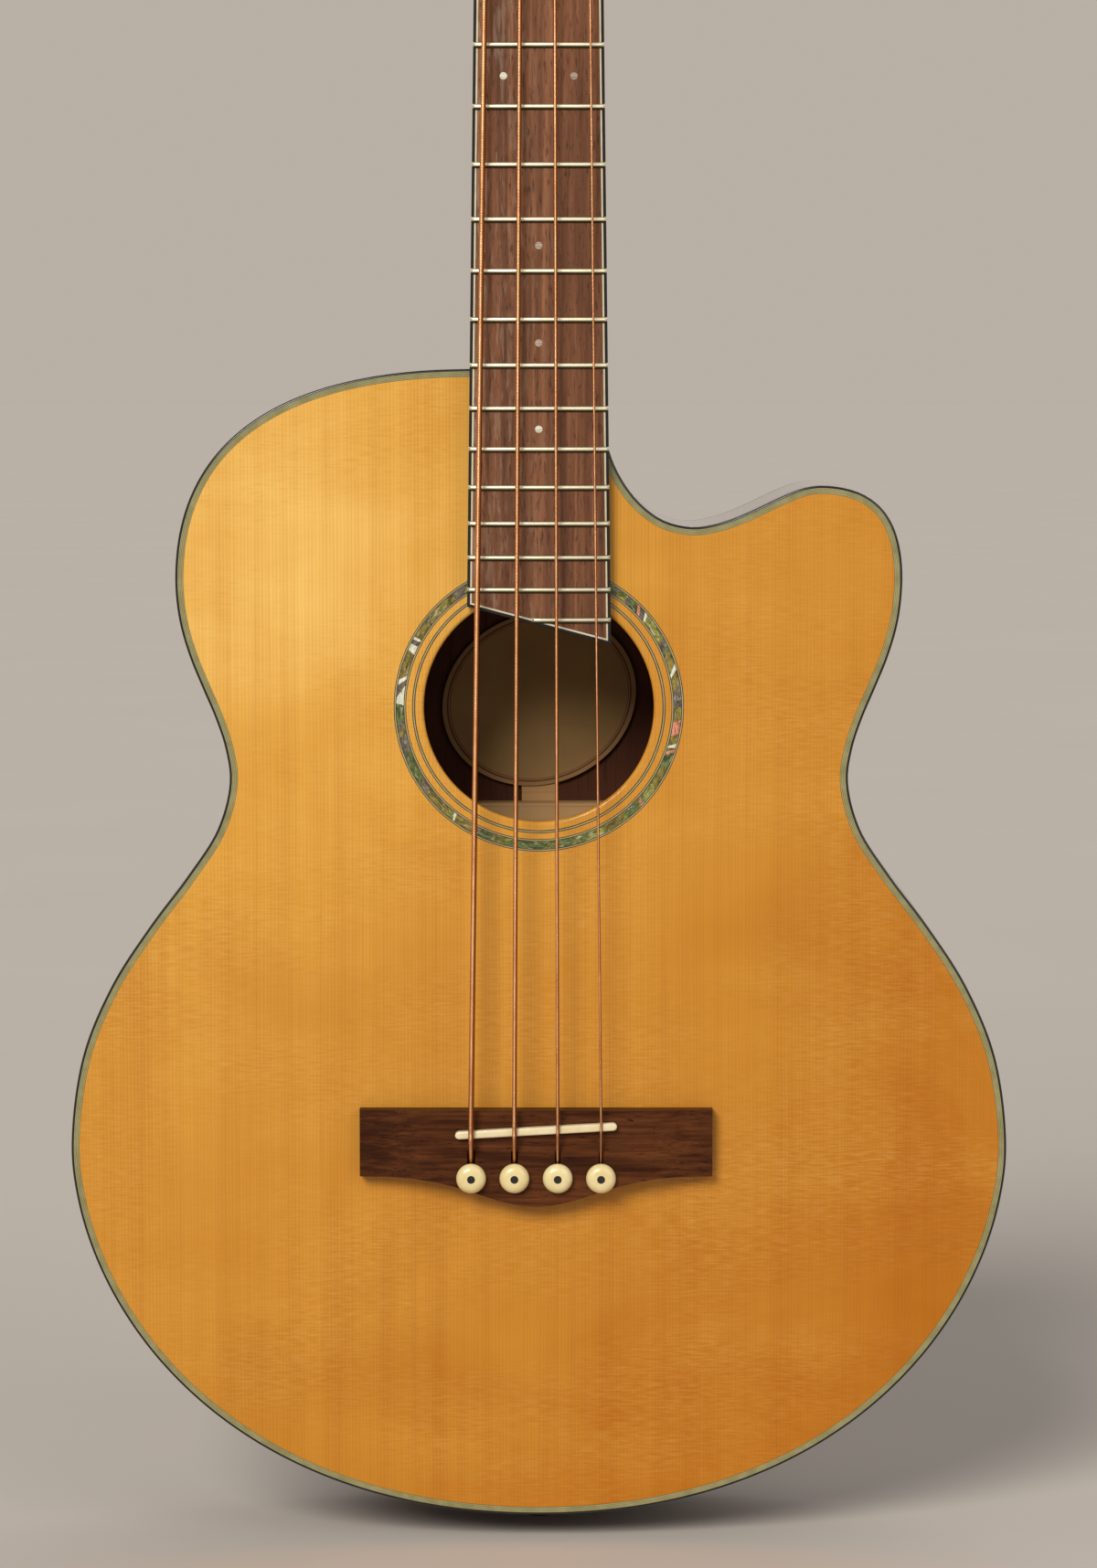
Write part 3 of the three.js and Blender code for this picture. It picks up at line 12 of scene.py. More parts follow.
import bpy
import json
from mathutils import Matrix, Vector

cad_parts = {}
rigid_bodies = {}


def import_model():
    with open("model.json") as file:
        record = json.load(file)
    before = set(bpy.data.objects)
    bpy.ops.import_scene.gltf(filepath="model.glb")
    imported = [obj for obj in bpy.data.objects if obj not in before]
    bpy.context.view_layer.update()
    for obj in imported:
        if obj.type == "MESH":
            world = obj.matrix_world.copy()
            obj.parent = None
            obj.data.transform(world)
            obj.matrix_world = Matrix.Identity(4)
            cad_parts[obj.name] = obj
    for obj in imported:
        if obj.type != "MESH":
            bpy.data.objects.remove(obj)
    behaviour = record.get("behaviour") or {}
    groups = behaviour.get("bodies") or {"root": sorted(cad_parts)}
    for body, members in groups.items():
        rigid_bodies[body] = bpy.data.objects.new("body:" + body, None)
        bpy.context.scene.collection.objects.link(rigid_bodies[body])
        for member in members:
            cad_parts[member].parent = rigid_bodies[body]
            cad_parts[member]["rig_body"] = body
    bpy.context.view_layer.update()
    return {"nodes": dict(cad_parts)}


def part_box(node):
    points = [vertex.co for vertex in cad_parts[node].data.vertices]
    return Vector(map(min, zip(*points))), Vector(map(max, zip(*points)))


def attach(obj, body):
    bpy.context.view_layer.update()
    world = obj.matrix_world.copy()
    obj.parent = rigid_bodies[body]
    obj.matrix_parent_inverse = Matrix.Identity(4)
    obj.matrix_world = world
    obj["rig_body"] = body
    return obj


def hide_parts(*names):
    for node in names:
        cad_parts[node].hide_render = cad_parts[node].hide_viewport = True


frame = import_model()
nodes = frame["nodes"]

# %% Tools of this lesson
import json
import math
import random

import bmesh
import bpy
from mathutils import Vector

scene = bpy.context.scene
MM = 0.001
print("one millimetre is", MM, "of Blender's units")

# %% [markdown]
# Camera
#
# The photograph was taken with a long lens from a little above the middle of the body, so
# the soundboard's outline shows with almost no perspective, and a sliver of the sides shows
# below the waist. The place comes from the frets: their spacing in the picture fixes both
# the distance and the tilt. The guitar's middle lies a little left of the picture's middle.

# %% Camera
aim = Vector((4.12 * MM, -57.3 * MM, 329.1 * MM))
camera_distance = 2.0
film_size = 36
view_height = camera_distance / 3
camera_rise = math.radians(5.06)
towards_camera = Vector((0, -math.cos(camera_rise), math.sin(camera_rise)))

camera_data = bpy.data.cameras.new("photo_camera")
camera_data.sensor_fit = "VERTICAL"
camera_data.sensor_height = film_size
camera_data.sensor_width = film_size
camera_data.lens = film_size * camera_distance / view_height
camera_data.clip_end = 100 * camera_distance
camera = bpy.data.objects.new("photo_camera", camera_data)
camera.location = aim + towards_camera * camera_distance
camera.rotation_euler = towards_camera.to_track_quat("Z", "Y").to_euler()
scene.collection.objects.link(camera)
scene.camera = camera
print("camera height:", round(camera.location.z, 3))

# %% [markdown]
# Shader helpers
#
# A material is a graph of nodes. Written as Python expressions the graph stays readable:
# Wire wraps one output, and adding, subtracting or multiplying wires adds the Math nodes.
# Graph adds any other node: settings first, then the sockets' values or wires. Paint is the
# graph of one material.

# %% Colours
def srgb(red, green, blue):
    """A colour as read from a picture, 0 to 255, in the linear values that shaders use."""
    def linear(value):
        share = value / 255
        return share / 12.92 if share <= 0.04045 else ((share + 0.055) / 1.055) ** 2.4
    return (linear(red), linear(green), linear(blue), 1)


def colour_stops(*rows):
    """Stops of a colour ramp from rows of a share and a colour's three values."""
    return [(share, srgb(*colour)) for share, *colour in rows]

# %% Wires
class Wire:
    """An output of a material's node. Arithmetic on it adds Math or Vector Math nodes."""

    def __init__(self, graph, socket):
        self.graph = graph
        self.socket = socket

    def calculate(self, operation, *inputs):
        vector = any(isinstance(i, Wire) and i.socket.type == "VECTOR" for i in inputs)
        kind = "ShaderNodeVectorMath" if vector else "ShaderNodeMath"
        return self.graph.node(kind, {"operation": operation}, dict(enumerate(inputs)))

    def __add__(self, other):
        return self.calculate("ADD", self, other)

    __radd__ = __add__

    def __sub__(self, other):
        return self.calculate("SUBTRACT", self, other)

    def __rsub__(self, other):
        return self.calculate("SUBTRACT", other, self)

    def __mul__(self, other):
        return self.calculate("MULTIPLY", self, other)

    __rmul__ = __mul__

    def __abs__(self):
        return self.calculate("ABSOLUTE", self)

    def wave(self):
        """Sine of this value."""
        return self.calculate("SINE", self)

    def exponent(self):
        """The number e raised to this value."""
        return self.calculate("EXPONENT", self)

    def root(self):
        """Square root of this value."""
        return self.calculate("SQRT", self)

    def ramp(self, low, high):
        """0 below low and 1 above high, straight between."""
        sockets = {"Value": self, "From Min": low, "From Max": high}
        return self.graph.node("ShaderNodeMapRange", {"clamp": True}, sockets)

    def parts(self):
        """The x, y and z of a vector."""
        split = self.graph.node("ShaderNodeSeparateXYZ", {}, {0: self}).socket.node
        return [Wire(self.graph, output) for output in split.outputs]

# %% Graphs
class Graph:
    """The nodes of a material or of the world."""

    def __init__(self, tree):
        self.tree = tree

    def node(self, kind, settings, sockets, output=0):
        """A new node's output. A colour ramp's stops are given among its settings."""
        made = self.tree.nodes.new(kind)
        for name, value in settings.items():
            if name == "stops":
                self.set_stops(made.color_ramp, value)
            else:
                setattr(made, name, value)
        for name, value in sockets.items():
            self.feed(made.inputs[name], value)
        return Wire(self, made.outputs[output])

    def set_stops(self, ramp, stops):
        while len(ramp.elements) < len(stops):
            ramp.elements.new(0.5)
        for element, (position, colour) in zip(ramp.elements, stops):
            element.position = position
            element.color = colour

    def feed(self, socket, value):
        if isinstance(value, Wire):
            self.tree.links.new(value.socket, socket)
        else:
            socket.default_value = value

    def place(self):
        """Where a point is on the instrument, in metres, whatever its body's pose."""
        return self.node("ShaderNodeTexCoord", {}, {}, "Object")

    def stretched(self, scale, shift=(0, 0, 0)):
        """The place, scaled along each axis, so that noise becomes grain or streaks."""
        scaled = self.node("ShaderNodeVectorMath", {"operation": "MULTIPLY"}, {0: self.place(), 1: scale})
        return scaled + shift

    def noise(self, scale, detail=2, roughness=0.5, shift=(0, 0, 0), distortion=0, place=None):
        """Noise from 0 to 1 with so many spots a metre along each axis."""
        sockets = {
            "Vector": self.stretched(scale, shift) if place is None else place * scale + shift,
            "Scale": 1,
            "Detail": detail,
            "Roughness": roughness,
            "Distortion": distortion,
        }
        return self.node("ShaderNodeTexNoise", {}, sockets)

    def mix(self, factor, first, second):
        """Colours blended by a factor. A mix node's colours are its sockets 6 and 7."""
        return self.node("ShaderNodeMix", {"data_type": "RGBA"}, {0: factor, 6: first, 7: second}, 2)

    def colours(self, factor, stops):
        """A colour ramp over a value."""
        return self.node("ShaderNodeValToRGB", {"stops": stops}, {0: factor})

# %% Paints
class Paint(Graph):
    """One material. Constants are set on the shader's own sockets."""

    def __init__(self, name, **constants):
        self.material = bpy.data.materials.new(name)
        self.material.use_nodes = True
        super().__init__(self.material.node_tree)
        self.shader = self.tree.nodes["Principled BSDF"]
        for socket, value in constants.items():
            title = socket.replace("_", " ").title().replace("Ior", "IOR")
            self.shader.inputs[title].default_value = value

    def finish(self, colour, roughness=None, height=None, depth=0, strength=1):
        """Links what varies. A height of 0 to 1 stands for a depth in metres."""
        self.feed(self.shader.inputs["Base Color"], colour)
        if roughness is not None:
            self.feed(self.shader.inputs["Roughness"], roughness)
        if height is not None:
            sockets = {"Height": height, "Distance": depth, "Strength": strength}
            self.feed(self.shader.inputs["Normal"], self.node("ShaderNodeBump", {}, sockets))
        print("finish:", self.material.name, len(self.tree.nodes), "nodes")
        return self.material

# %% [markdown]
# Floor and light
#
# Nothing here may hide the guitar's own colours, so the stage is a plain pale floor that
# runs to the horizon. Far lamps, of Blender's kind Sun, light all of it evenly: were they
# near, the floor would fade with distance and the horizon would show as a line. A wide
# lamp stands high on the left, a weaker one fills from the right and a third lights the
# back. Rays that the camera, a mirror or glass sends out see a world with the floor's own
# tone. The light that the world throws on the guitar is weaker, so the inside stays dark.

# %% Floor
floor_reach = 60
floor_mesh = bpy.data.meshes.new("studio_floor")
floor_corners = [(x * floor_reach, y * floor_reach, 0) for x, y in [(-1, -1), (1, -1), (1, 1), (-1, 1)]]
floor_mesh.from_pydata(floor_corners, [], [(0, 1, 2, 3)])
floor = bpy.data.objects.new("studio_floor", floor_mesh)
scene.collection.objects.link(floor)

floor_colour = srgb(200, 192, 184)
floor_paint = Paint("pale_floor", roughness=0.9, specular_ior_level=0.0)
mottle = floor_paint.noise((3, 3, 3), detail=3)
paper_tone = floor_paint.mix(mottle.ramp(0.3, 0.7), floor_colour, srgb(202, 194, 186))
floor_mesh.materials.append(floor_paint.finish(paper_tone))

# %% Lamps
def soft_sun(name, direction, strength, degrees, colour):
    """A lamp far away in a direction. Its angle in the sky makes its shadows soft."""
    data = bpy.data.lights.new(name, "SUN")
    data.energy = strength
    data.angle = math.radians(degrees)
    data.color = colour
    lamp = bpy.data.objects.new(name, data)
    lamp.rotation_euler = Vector(direction).to_track_quat("Z", "Y").to_euler()
    scene.collection.objects.link(lamp)
    rise = Vector(direction).normalized().z
    return Vector(colour) * (strength * rise / math.pi)


lamps = [
    # name, direction, strength, degrees, colour
    ("key_lamp", (-0.68, -1.5, 1.05), 2.45, 26, (1, 0.965, 0.91)),
    ("fill_lamp", (1.4, -1.5, 1.1), 0.5, 40, (1, 0.98, 0.95)),
    ("back_lamp", (0.5, 2.2, 1.6), 0.7, 50, (1, 0.98, 0.95)),
]
on_floor = Vector()
for lamp in lamps:
    on_floor += soft_sun(*lamp)
print("lamps give the floor", [round(share, 3) for share in on_floor])

# %% World
ambient = Vector((0.22, 0.217, 0.212))
world = bpy.data.worlds.new("studio_air")
world.use_nodes = True
scene.world = world
air = Graph(world.node_tree)
backdrop = [tone * (dim + lit) for tone, dim, lit in zip(floor_colour, ambient, on_floor)]
ray = air.node("ShaderNodeLightPath", {}, {}, "Is Camera Ray")
outputs = ray.socket.node.outputs
seen = ray + Wire(air, outputs["Is Glossy Ray"]) + Wire(air, outputs["Is Transmission Ray"])
air_tone = air.mix(seen.ramp(0, 1), (*ambient, 1), (*backdrop, 1))
air.feed(world.node_tree.nodes["Background"].inputs["Color"], air_tone)
scene.view_settings.view_transform = "Standard"
print("backdrop:", [round(channel, 3) for channel in backdrop])

# %% [markdown]
# Spruce of the soundboard
#
# The top is two mirrored spruce boards under gloss lacquer, aged to honey. Three things
# make spruce: fine dark year lines along the board, short pale silk streaks across them,
# and slow clouds of tone. Each is a noise stretched along one axis. The year lines also
# have an even pitch, counted from the middle seam, so that one board mirrors the other.

# %% Spruce
lacquer = {"coat_weight": 0.6, "coat_roughness": 0.05, "coat_ior": 1.45}
spruce = Paint("spruce_lacquered", specular_ior_level=0.1, **lacquer)
across = spruce.place().parts()[0]
drift = spruce.noise((5, 1, 2.2), detail=2)
drift_reach = 6 * MM
whole_turn = 2 * math.pi
year_pitch = 1.5 * MM
year_turns = (abs(across) + drift * drift_reach) * (whole_turn / year_pitch)
year_swell = year_turns.wave() * 0.5 + 0.5
year_wave = year_swell * year_swell * year_swell
uneven = spruce.noise((420, 1, 5), detail=3, roughness=0.6)
wide_bands = spruce.noise((55, 1, 0.9), detail=3, roughness=0.6)
hair = spruce.noise((1100, 1, 14), detail=2, roughness=0.6)
line_strength = wide_bands.ramp(0.25, 0.75) * 0.6 + 0.4
line_mask = (year_wave * 0.3 + uneven * 0.6 + hair * 0.45).ramp(0.4, 1.0) * line_strength
silk = spruce.noise((130, 1, 1300), detail=2, roughness=0.6, distortion=0.3)
silk_field = spruce.noise((9, 1, 16), detail=2)
silk_mask = silk.ramp(0.42, 0.75) * silk_field.ramp(0.35, 0.7)
cloud = spruce.noise((9, 1, 15), detail=4, roughness=0.6, shift=(3.1, 0, 1.7), distortion=0.4)

# %% Tones of the aged top, with painted light
# Painted light: a pale glow round a spot at the upper left, and deeper shade away from it and to the right,
# stand in for the lamp's light on the lacquer. The blotches are the wood's own tone.
painted_glow_centre = (-0.09, 0, 0.44)
honey_stops = colour_stops(
    (0, 250, 208, 120),
    (0.1, 248, 198, 104),
    (0.26, 234, 176, 76),
    (0.43, 221, 159, 58),
    (0.55, 211, 147, 50),
    (0.67, 206, 139, 42),
    (0.77, 198, 131, 36),
    (0.92, 187, 114, 18),
    (1, 180, 107, 8),
)
year_line = srgb(158, 84, 22)
silk_tone = srgb(247, 200, 118)
painted_glow_fade = 4.5
glow_sockets = {0: spruce.place(), 1: painted_glow_centre}
glow_distance = spruce.node("ShaderNodeVectorMath", {"operation": "DISTANCE"}, glow_sockets, "Value")
painted_glow = (glow_distance * -painted_glow_fade).exponent()
blotches = (cloud - 0.5) * 0.5 + (wide_bands - 0.5) * 0.22
age_and_painted_light = ((1 - painted_glow) * 0.96 + across * 0.65 + blotches).ramp(0, 1)
board = spruce.colours(age_and_painted_light, honey_stops)
lined = spruce.mix(line_mask * 0.42, board, year_line)
dark_silk = silk.ramp(0.48, 0.3) * silk_field.ramp(0.35, 0.7)
silky = spruce.mix(silk_mask * 0.24, lined, silk_tone)
silky = spruce.mix(dark_silk * 0.12, silky, year_line)
grain_height = line_mask * 0.7 + silk * 0.3
spruce_finish = spruce.finish(silky, silk * 0.12 + 0.36, grain_height, 0.02 * MM, 0.35)

# %% [markdown]
# Mahogany of the body and neck
#
# The sides and back are dark stained mahogany under the same gloss lacquer. The neck is a
# lighter piece. Mahogany has open pores, drawn as thin dark dashes along the grain, and a
# ribbon figure, drawn as slow bands across it. Back and sides are mirrored halves too, so
# their seam shows as a fine dark line down the middle.

# %% Mahogany
def mahogany(name, dark, light, pore, roughness, coat, halves):
    """halves is 1 for two mirrored boards glued along the middle and 0 for a single piece."""
    paint = Paint(name, coat_weight=coat, coat_roughness=0.06)
    x, y, z = paint.place().parts()
    mirrored = paint.node("ShaderNodeCombineXYZ", {}, {0: abs(x) if halves else x, 1: y, 2: z})
    ribbon = paint.noise((38, 38, 5), 3, 0.6, (0, 0, 0), 0.6, mirrored)
    streak = paint.noise((420, 420, 9), 3, 0.6, (0, 0, 0), 0, mirrored)
    pores = paint.noise((1900, 1900, 130), 1, 0.5, (0, 0, 0), 0, mirrored).ramp(0.62, 0.72)
    wood = paint.mix((ribbon * 0.6 + streak * 0.4).ramp(0.3, 0.7), dark, light)
    wood = paint.mix(pores * 0.6, wood, pore)
    seam = abs(x).ramp(0.45 * MM, 0.25 * MM) * halves
    wood = paint.mix(seam, wood, pore)
    return paint.finish(wood, streak * 0.15 + roughness, 1 - pores, 0.03 * MM, 0.4)


body_tones = srgb(58, 27, 17), srgb(98, 48, 28), srgb(28, 13, 9)
neck_tones = srgb(88, 46, 26), srgb(132, 76, 44), srgb(48, 24, 14)
body_mahogany = mahogany("mahogany_body", *body_tones, roughness=0.35, coat=1.0, halves=1)
neck_mahogany = mahogany("mahogany_neck", *neck_tones, roughness=0.4, coat=0.6, halves=0)

# %% [markdown]
# Rosewood
#
# The fingerboard is a reddish grey-brown rosewood, oiled and not lacquered. Its pores are
# long and deep enough to see from across a room. The bridge and the headstock's face are
# darker pieces, and the bridge's grain runs across the guitar, with wavy dark bands.

# %% Rosewood
def rosewood(name, along, stops, pore, pore_share, roughness, coat=0, shine=0.2, figure=160, darkening_and_glare=0):
    """along is the grain's direction: 2 runs up the neck and 0 runs across.

    The last argument darkens the board towards the body and paints pale streaks of painted
    glare on its bass side.
    """
    def grained(across_scale, along_scale):
        scale = [across_scale] * 3
        scale[along] = along_scale
        return scale

    paint = Paint(name, specular_ior_level=shine, coat_weight=coat, coat_roughness=0.15)
    bands = paint.noise(grained(figure, 5), detail=4, roughness=0.6, distortion=0.8)
    fine = paint.noise(grained(700, 22), detail=3, roughness=0.65)
    streaks = paint.noise(grained(520, 60), detail=3, roughness=0.6, distortion=0.5)
    pores = paint.noise(grained(1300, 190), detail=2, roughness=0.6).ramp(0.7 - pore_share, 0.7)
    wood = paint.colours((bands * 0.6 + fine * 0.25 + streaks * 0.15).ramp(0.35, 0.65), stops)
    wood = paint.mix(streaks.ramp(0.55, 0.72) * 0.4, wood, pore)
    if darkening_and_glare:
        x, y, z = paint.place().parts()
        # Darker towards the body.
        wood = paint.mix(z.ramp(0.68, 0.36) * darkening_and_glare, wood, pore)
        # Painted highlight: pale streaks of glare on the bass side.
        painted_glare = x.ramp(12 * MM, -22 * MM) * streaks.ramp(0.5, 0.36) * darkening_and_glare
        wood = paint.mix(painted_glare * 1.2, wood, srgb(186, 156, 132))
    wood = paint.mix(pores * 0.75, wood, pore)
    return paint.finish(wood, fine * 0.2 + roughness, (1 - pores) * 0.8 + fine * 0.2, 0.08 * MM, 0.6)


board_stops = colour_stops((0, 84, 50, 33), (0.45, 122, 78, 52), (1, 166, 110, 76))
board_rosewood = rosewood("rosewood_fingerboard", 2, board_stops, srgb(62, 38, 27), 0.14, 0.42, darkening_and_glare=0.3)
bridge_stops = colour_stops((0, 30, 12, 4), (0.4, 62, 31, 14), (0.75, 100, 56, 28), (1, 128, 76, 40))
bridge_rosewood = rosewood(
    "rosewood_bridge", 0, bridge_stops, srgb(22, 9, 4), 0.08, 0.38, coat=0.08, shine=0.05, figure=42
)
head_rosewood = rosewood("rosewood_headstock", 2, bridge_stops, srgb(30, 15, 11), 0.06, 0.3, coat=1)

# %% [markdown]
# Plain woods inside
#
# The braces are pale spruce left raw, the linings and blocks are cedar, and the plate
# under the bridge is maple. One function serves them, with its own tones for each.

# %% Inside woods
def raw_wood(name, pale, deep, line, pitch, along):
    """pitch is the distance between the rings, in millimetres, and along the grain's axis."""
    scale = [1 / (pitch * MM)] * 3
    scale[along] = 4
    paint = Paint(name, specular_ior_level=0.25)
    rings = paint.noise(scale, detail=3, roughness=0.6)
    cloudy = paint.noise((25, 25, 25), detail=2)
    fuzz = paint.noise((2600, 2600, 2600), detail=1)
    wood = paint.mix(cloudy.ramp(0.3, 0.7), pale, deep)
    wood = paint.mix(rings.ramp(0.52, 0.68) * 0.6, wood, line)
    return paint.finish(wood, fuzz * 0.15 + 0.62, rings * 0.7 + fuzz * 0.3, 0.06 * MM, 0.5)


brace_spruce = raw_wood("spruce_brace", srgb(206, 164, 112), srgb(186, 142, 92), srgb(160, 112, 66), 1.6, 0)
strip_spruce = raw_wood("spruce_strip", srgb(206, 164, 112), srgb(190, 148, 98), srgb(160, 112, 66), 1.4, 0)
cedar_wood = raw_wood("cedar_lining", srgb(176, 124, 78), srgb(150, 100, 60), srgb(118, 72, 42), 1.3, 2)
inside_mahogany = raw_wood("mahogany_inside", srgb(92, 48, 26), srgb(72, 37, 20), srgb(44, 22, 12), 0.9, 2)
maple_wood = raw_wood("maple_ply", srgb(214, 176, 124), srgb(198, 156, 104), srgb(176, 132, 84), 1.9, 0)

# %% [markdown]
# Binding, plies and shell
#
# The black binding is a hard plastic with a faint polish haze. The plies beside it are
# stained olive veneer between dark lines. The rosette holds abalone pieces: thin wavy
# layers whose tone depends on where and at what lean each piece was cut from the shell.

# %% Binding plastics and plies
def hard_plastic(name, low, high, roughness, coat=0.3):
    """A smooth plastic or stained veneer with a faint haze and fine scuffs."""
    paint = Paint(name, coat_weight=coat, coat_roughness=0.05)
    haze = paint.noise((160, 160, 160), detail=3)
    scuff = paint.noise((1400, 1400, 90), detail=2)
    tone = paint.mix(haze.ramp(0.35, 0.65), low, high)
    return paint.finish(tone, scuff * 0.12 + roughness, scuff, 0.006 * MM, 0.4)


black_plastic = hard_plastic("binding_black", srgb(12, 11, 11), srgb(20, 19, 18), 0.16, coat=0.15)
button_plastic = hard_plastic("button_black", srgb(17, 16, 16), srgb(30, 28, 27), 0.25)
olive_ply = hard_plastic("ply_olive", srgb(146, 140, 92), srgb(164, 158, 110), 0.3)
cream_ply = hard_plastic("ply_cream", srgb(206, 198, 166), srgb(222, 214, 184), 0.3)
tan_ply = hard_plastic("ply_tan", srgb(170, 156, 108), srgb(186, 172, 124), 0.3)
dark_ply = hard_plastic("ply_dark", srgb(40, 34, 16), srgb(56, 48, 26), 0.3)

# %% Abalone
rosette_low, rosette_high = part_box("rosette")
hole_x = (rosette_low.x + rosette_high.x) / 2
hole_z = (rosette_low.z + rosette_high.z) / 2
rosette_mean_radius = 59 * MM


def abalone(name, tones, lean, flash):
    """One way of cutting the shell: its four tones, the lean of its layers and its flash."""
    paint = Paint(name, specular_ior_level=0.3, coat_weight=0.5, coat_roughness=0.04)
    stops = [(share, srgb(*tone)) for share, tone in zip((0, 0.4, 0.7, 1), tones)]
    x, y, z = paint.place().parts()
    right, up = x - hole_x, z - hole_z
    outwards = (right * right + up * up).root()
    round_hole = up.calculate("ARCTAN2", up, right) * rosette_mean_radius + outwards * lean
    ring_place = paint.node("ShaderNodeCombineXYZ", {}, {0: round_hole, 1: outwards})
    swirl = paint.noise((170, 420, 0), 3, 0.6, (flash * 7, lean, 0), 1.2, ring_place)
    layers = paint.noise((420, 1900, 0), 2, 0.6, (lean, flash, 0), 1.0, ring_place)
    tone = paint.colours((swirl * 0.55 + layers * 0.45).ramp(0.32, 0.68), stops)
    tone = paint.mix(layers.ramp(0.56, 0.66) * 0.75, tone, srgb(30, 28, 16))
    glint = paint.noise((330, 900, 0), 1, 0.5, (flash * 3, lean * 2, 0), 0.8, ring_place)
    glint_share = glint.ramp(0.62 - flash * 0.14, 0.74) * (0.35 + flash * 0.5)
    tone = paint.mix(glint_share, tone, srgb(222, 218, 192))
    return paint.finish(tone, glint * 0.2 + 0.14, layers, 0.02 * MM, 0.4)


shell_cuts = {
    "olive": ([(48, 40, 10), (106, 92, 36), (160, 144, 70), (82, 72, 28)], 0.6, 0.1),
    "smoke": ([(44, 38, 34), (86, 78, 70), (132, 120, 104), (92, 86, 54)], -0.7, 0.1),
    "green": ([(50, 50, 14), (100, 102, 36), (172, 168, 80), (110, 122, 60)], 1.1, 0.4),
    "teal": ([(34, 40, 18), (70, 82, 40), (120, 134, 76), (78, 82, 52)], -1.1, 0.2),
    "flash": ([(150, 156, 112), (214, 216, 186), (250, 250, 240), (196, 204, 150)], 0.9, 0.9),
    "pink": ([(104, 56, 38), (196, 104, 78), (232, 160, 128), (150, 140, 80)], 0.8, 0.5),
}
shells = {name: abalone("abalone_" + name, *cut) for name, cut in shell_cuts.items()}

# %% [markdown]
# Metals, bone and paper
#
# The wound strings are bronze, the frets nickel silver, the tuners chrome and the truss
# rod plain steel. Saddle and nut are bone, the pins a cream plastic with darker flecks.
# Metal shows mostly what it mirrors, so its finish is in the roughness: fine polish lines
# for the frets, a nearly clean mirror for the chrome.

# %% Metals
def metal(name, tone, tarnish, roughness, brushed, scale, shade_below=None, painted_flank_shade=None):
    """brushed is how much its polish lines change the roughness.

    Below the height given after scale, the metal is painted slowly greyer: painted shade
    where it no longer catches the highlight.
    The last argument is a tone of painted shade for a string's treble flank and the edge of
    its bass flank.
    """
    paint = Paint(name, metallic=1.0)
    cloudy = paint.noise((70, 70, 70), detail=3)
    brush = paint.noise(scale, detail=2)
    colour = paint.mix(cloudy.ramp(0.35, 0.75), tone, tarnish)
    if shade_below:
        height = paint.place().parts()[2]
        # Painted shade: lower down, the metal turns greyer.
        painted_dullness = height.ramp(shade_below, shade_below - 0.14) * 0.55
        colour = paint.mix(painted_dullness, colour, srgb(120, 116, 98))
    if painted_flank_shade:
        # Painted shade: the treble flank and the bass edge are painted brown.
        facing = paint.node("ShaderNodeTexCoord", {}, {}, "Normal").parts()[0]
        colour = paint.mix(facing.ramp(0.05, 0.4), colour, painted_flank_shade)
        colour = paint.mix(facing.ramp(-0.6, -0.9) * 0.6, colour, painted_flank_shade)
    return paint.finish(colour, brush * brushed + cloudy * 0.08 + roughness, brush, 0.004 * MM, 0.5)


fret_lines = (300, 2600, 2600)
even = (900, 900, 900)
bright_tones = srgb(246, 240, 212), srgb(226, 218, 186)
fret_nickel = metal("fret_nickel", *bright_tones, 0.28, 0.18, fret_lines, shade_below=0.5)
# Dark finish of painted shade for the lower side and upper edge of each fret's crown.
fret_painted_shade = metal("fret_nickel_painted_shade", srgb(96, 88, 60), srgb(70, 62, 42), 0.45, 0.2, fret_lines)
tuner_chrome = metal("chrome_polished", srgb(214, 216, 218), srgb(196, 199, 203), 0.06, 0.06, even)
rod_steel = metal("steel_plain", srgb(140, 140, 140), srgb(104, 101, 98), 0.34, 0.2, (1800, 1800, 200))
bronze_tones = srgb(240, 184, 136), srgb(206, 142, 96)
string_bronze = metal("bronze_wound", *bronze_tones, 0.24, 0.08, even, painted_flank_shade=srgb(146, 84, 34))

# %% Bone, cream plastic and paper
def ivory(name, pale, yellow, spot, roughness, coat):
    """A pale smooth stuff that light enters a little."""
    paint = Paint(name, coat_weight=coat, coat_roughness=0.08, subsurface_weight=0.08)
    paint.shader.inputs["Subsurface Radius"].default_value = (1.5 * MM, 1.1 * MM, 0.7 * MM)
    cloudy = paint.noise((180, 180, 180), detail=3)
    flecks = paint.noise((1100, 1100, 420), detail=2).ramp(0.62, 0.75)
    tone = paint.mix(cloudy.ramp(0.3, 0.7), pale, yellow)
    tone = paint.mix(flecks * 0.3, tone, spot)
    return paint.finish(tone, cloudy * 0.15 + roughness, cloudy, 0.02 * MM, 0.3)


bone = ivory("bone_polished", srgb(240, 226, 188), srgb(228, 208, 162), srgb(198, 172, 122), 0.25, 0.4)
cream_plastic = ivory("pin_cream", srgb(240, 224, 170), srgb(230, 208, 146), srgb(206, 180, 120), 0.24, 0.5)

label_paint = Paint("paper_aged", specular_ior_level=0.2)
fibres = label_paint.noise((1800, 1800, 1100), detail=3)
stain = label_paint.noise((30, 30, 30), detail=3)
label_tone = label_paint.mix(stain.ramp(0.3, 0.75), srgb(176, 140, 90), srgb(158, 122, 76))
label_paper = label_paint.finish(label_tone, fibres * 0.1 + 0.75, fibres, 0.02 * MM, 0.4)
label_ink = hard_plastic("label_ink", srgb(92, 34, 22), srgb(112, 46, 30), 0.6, coat=0.0)

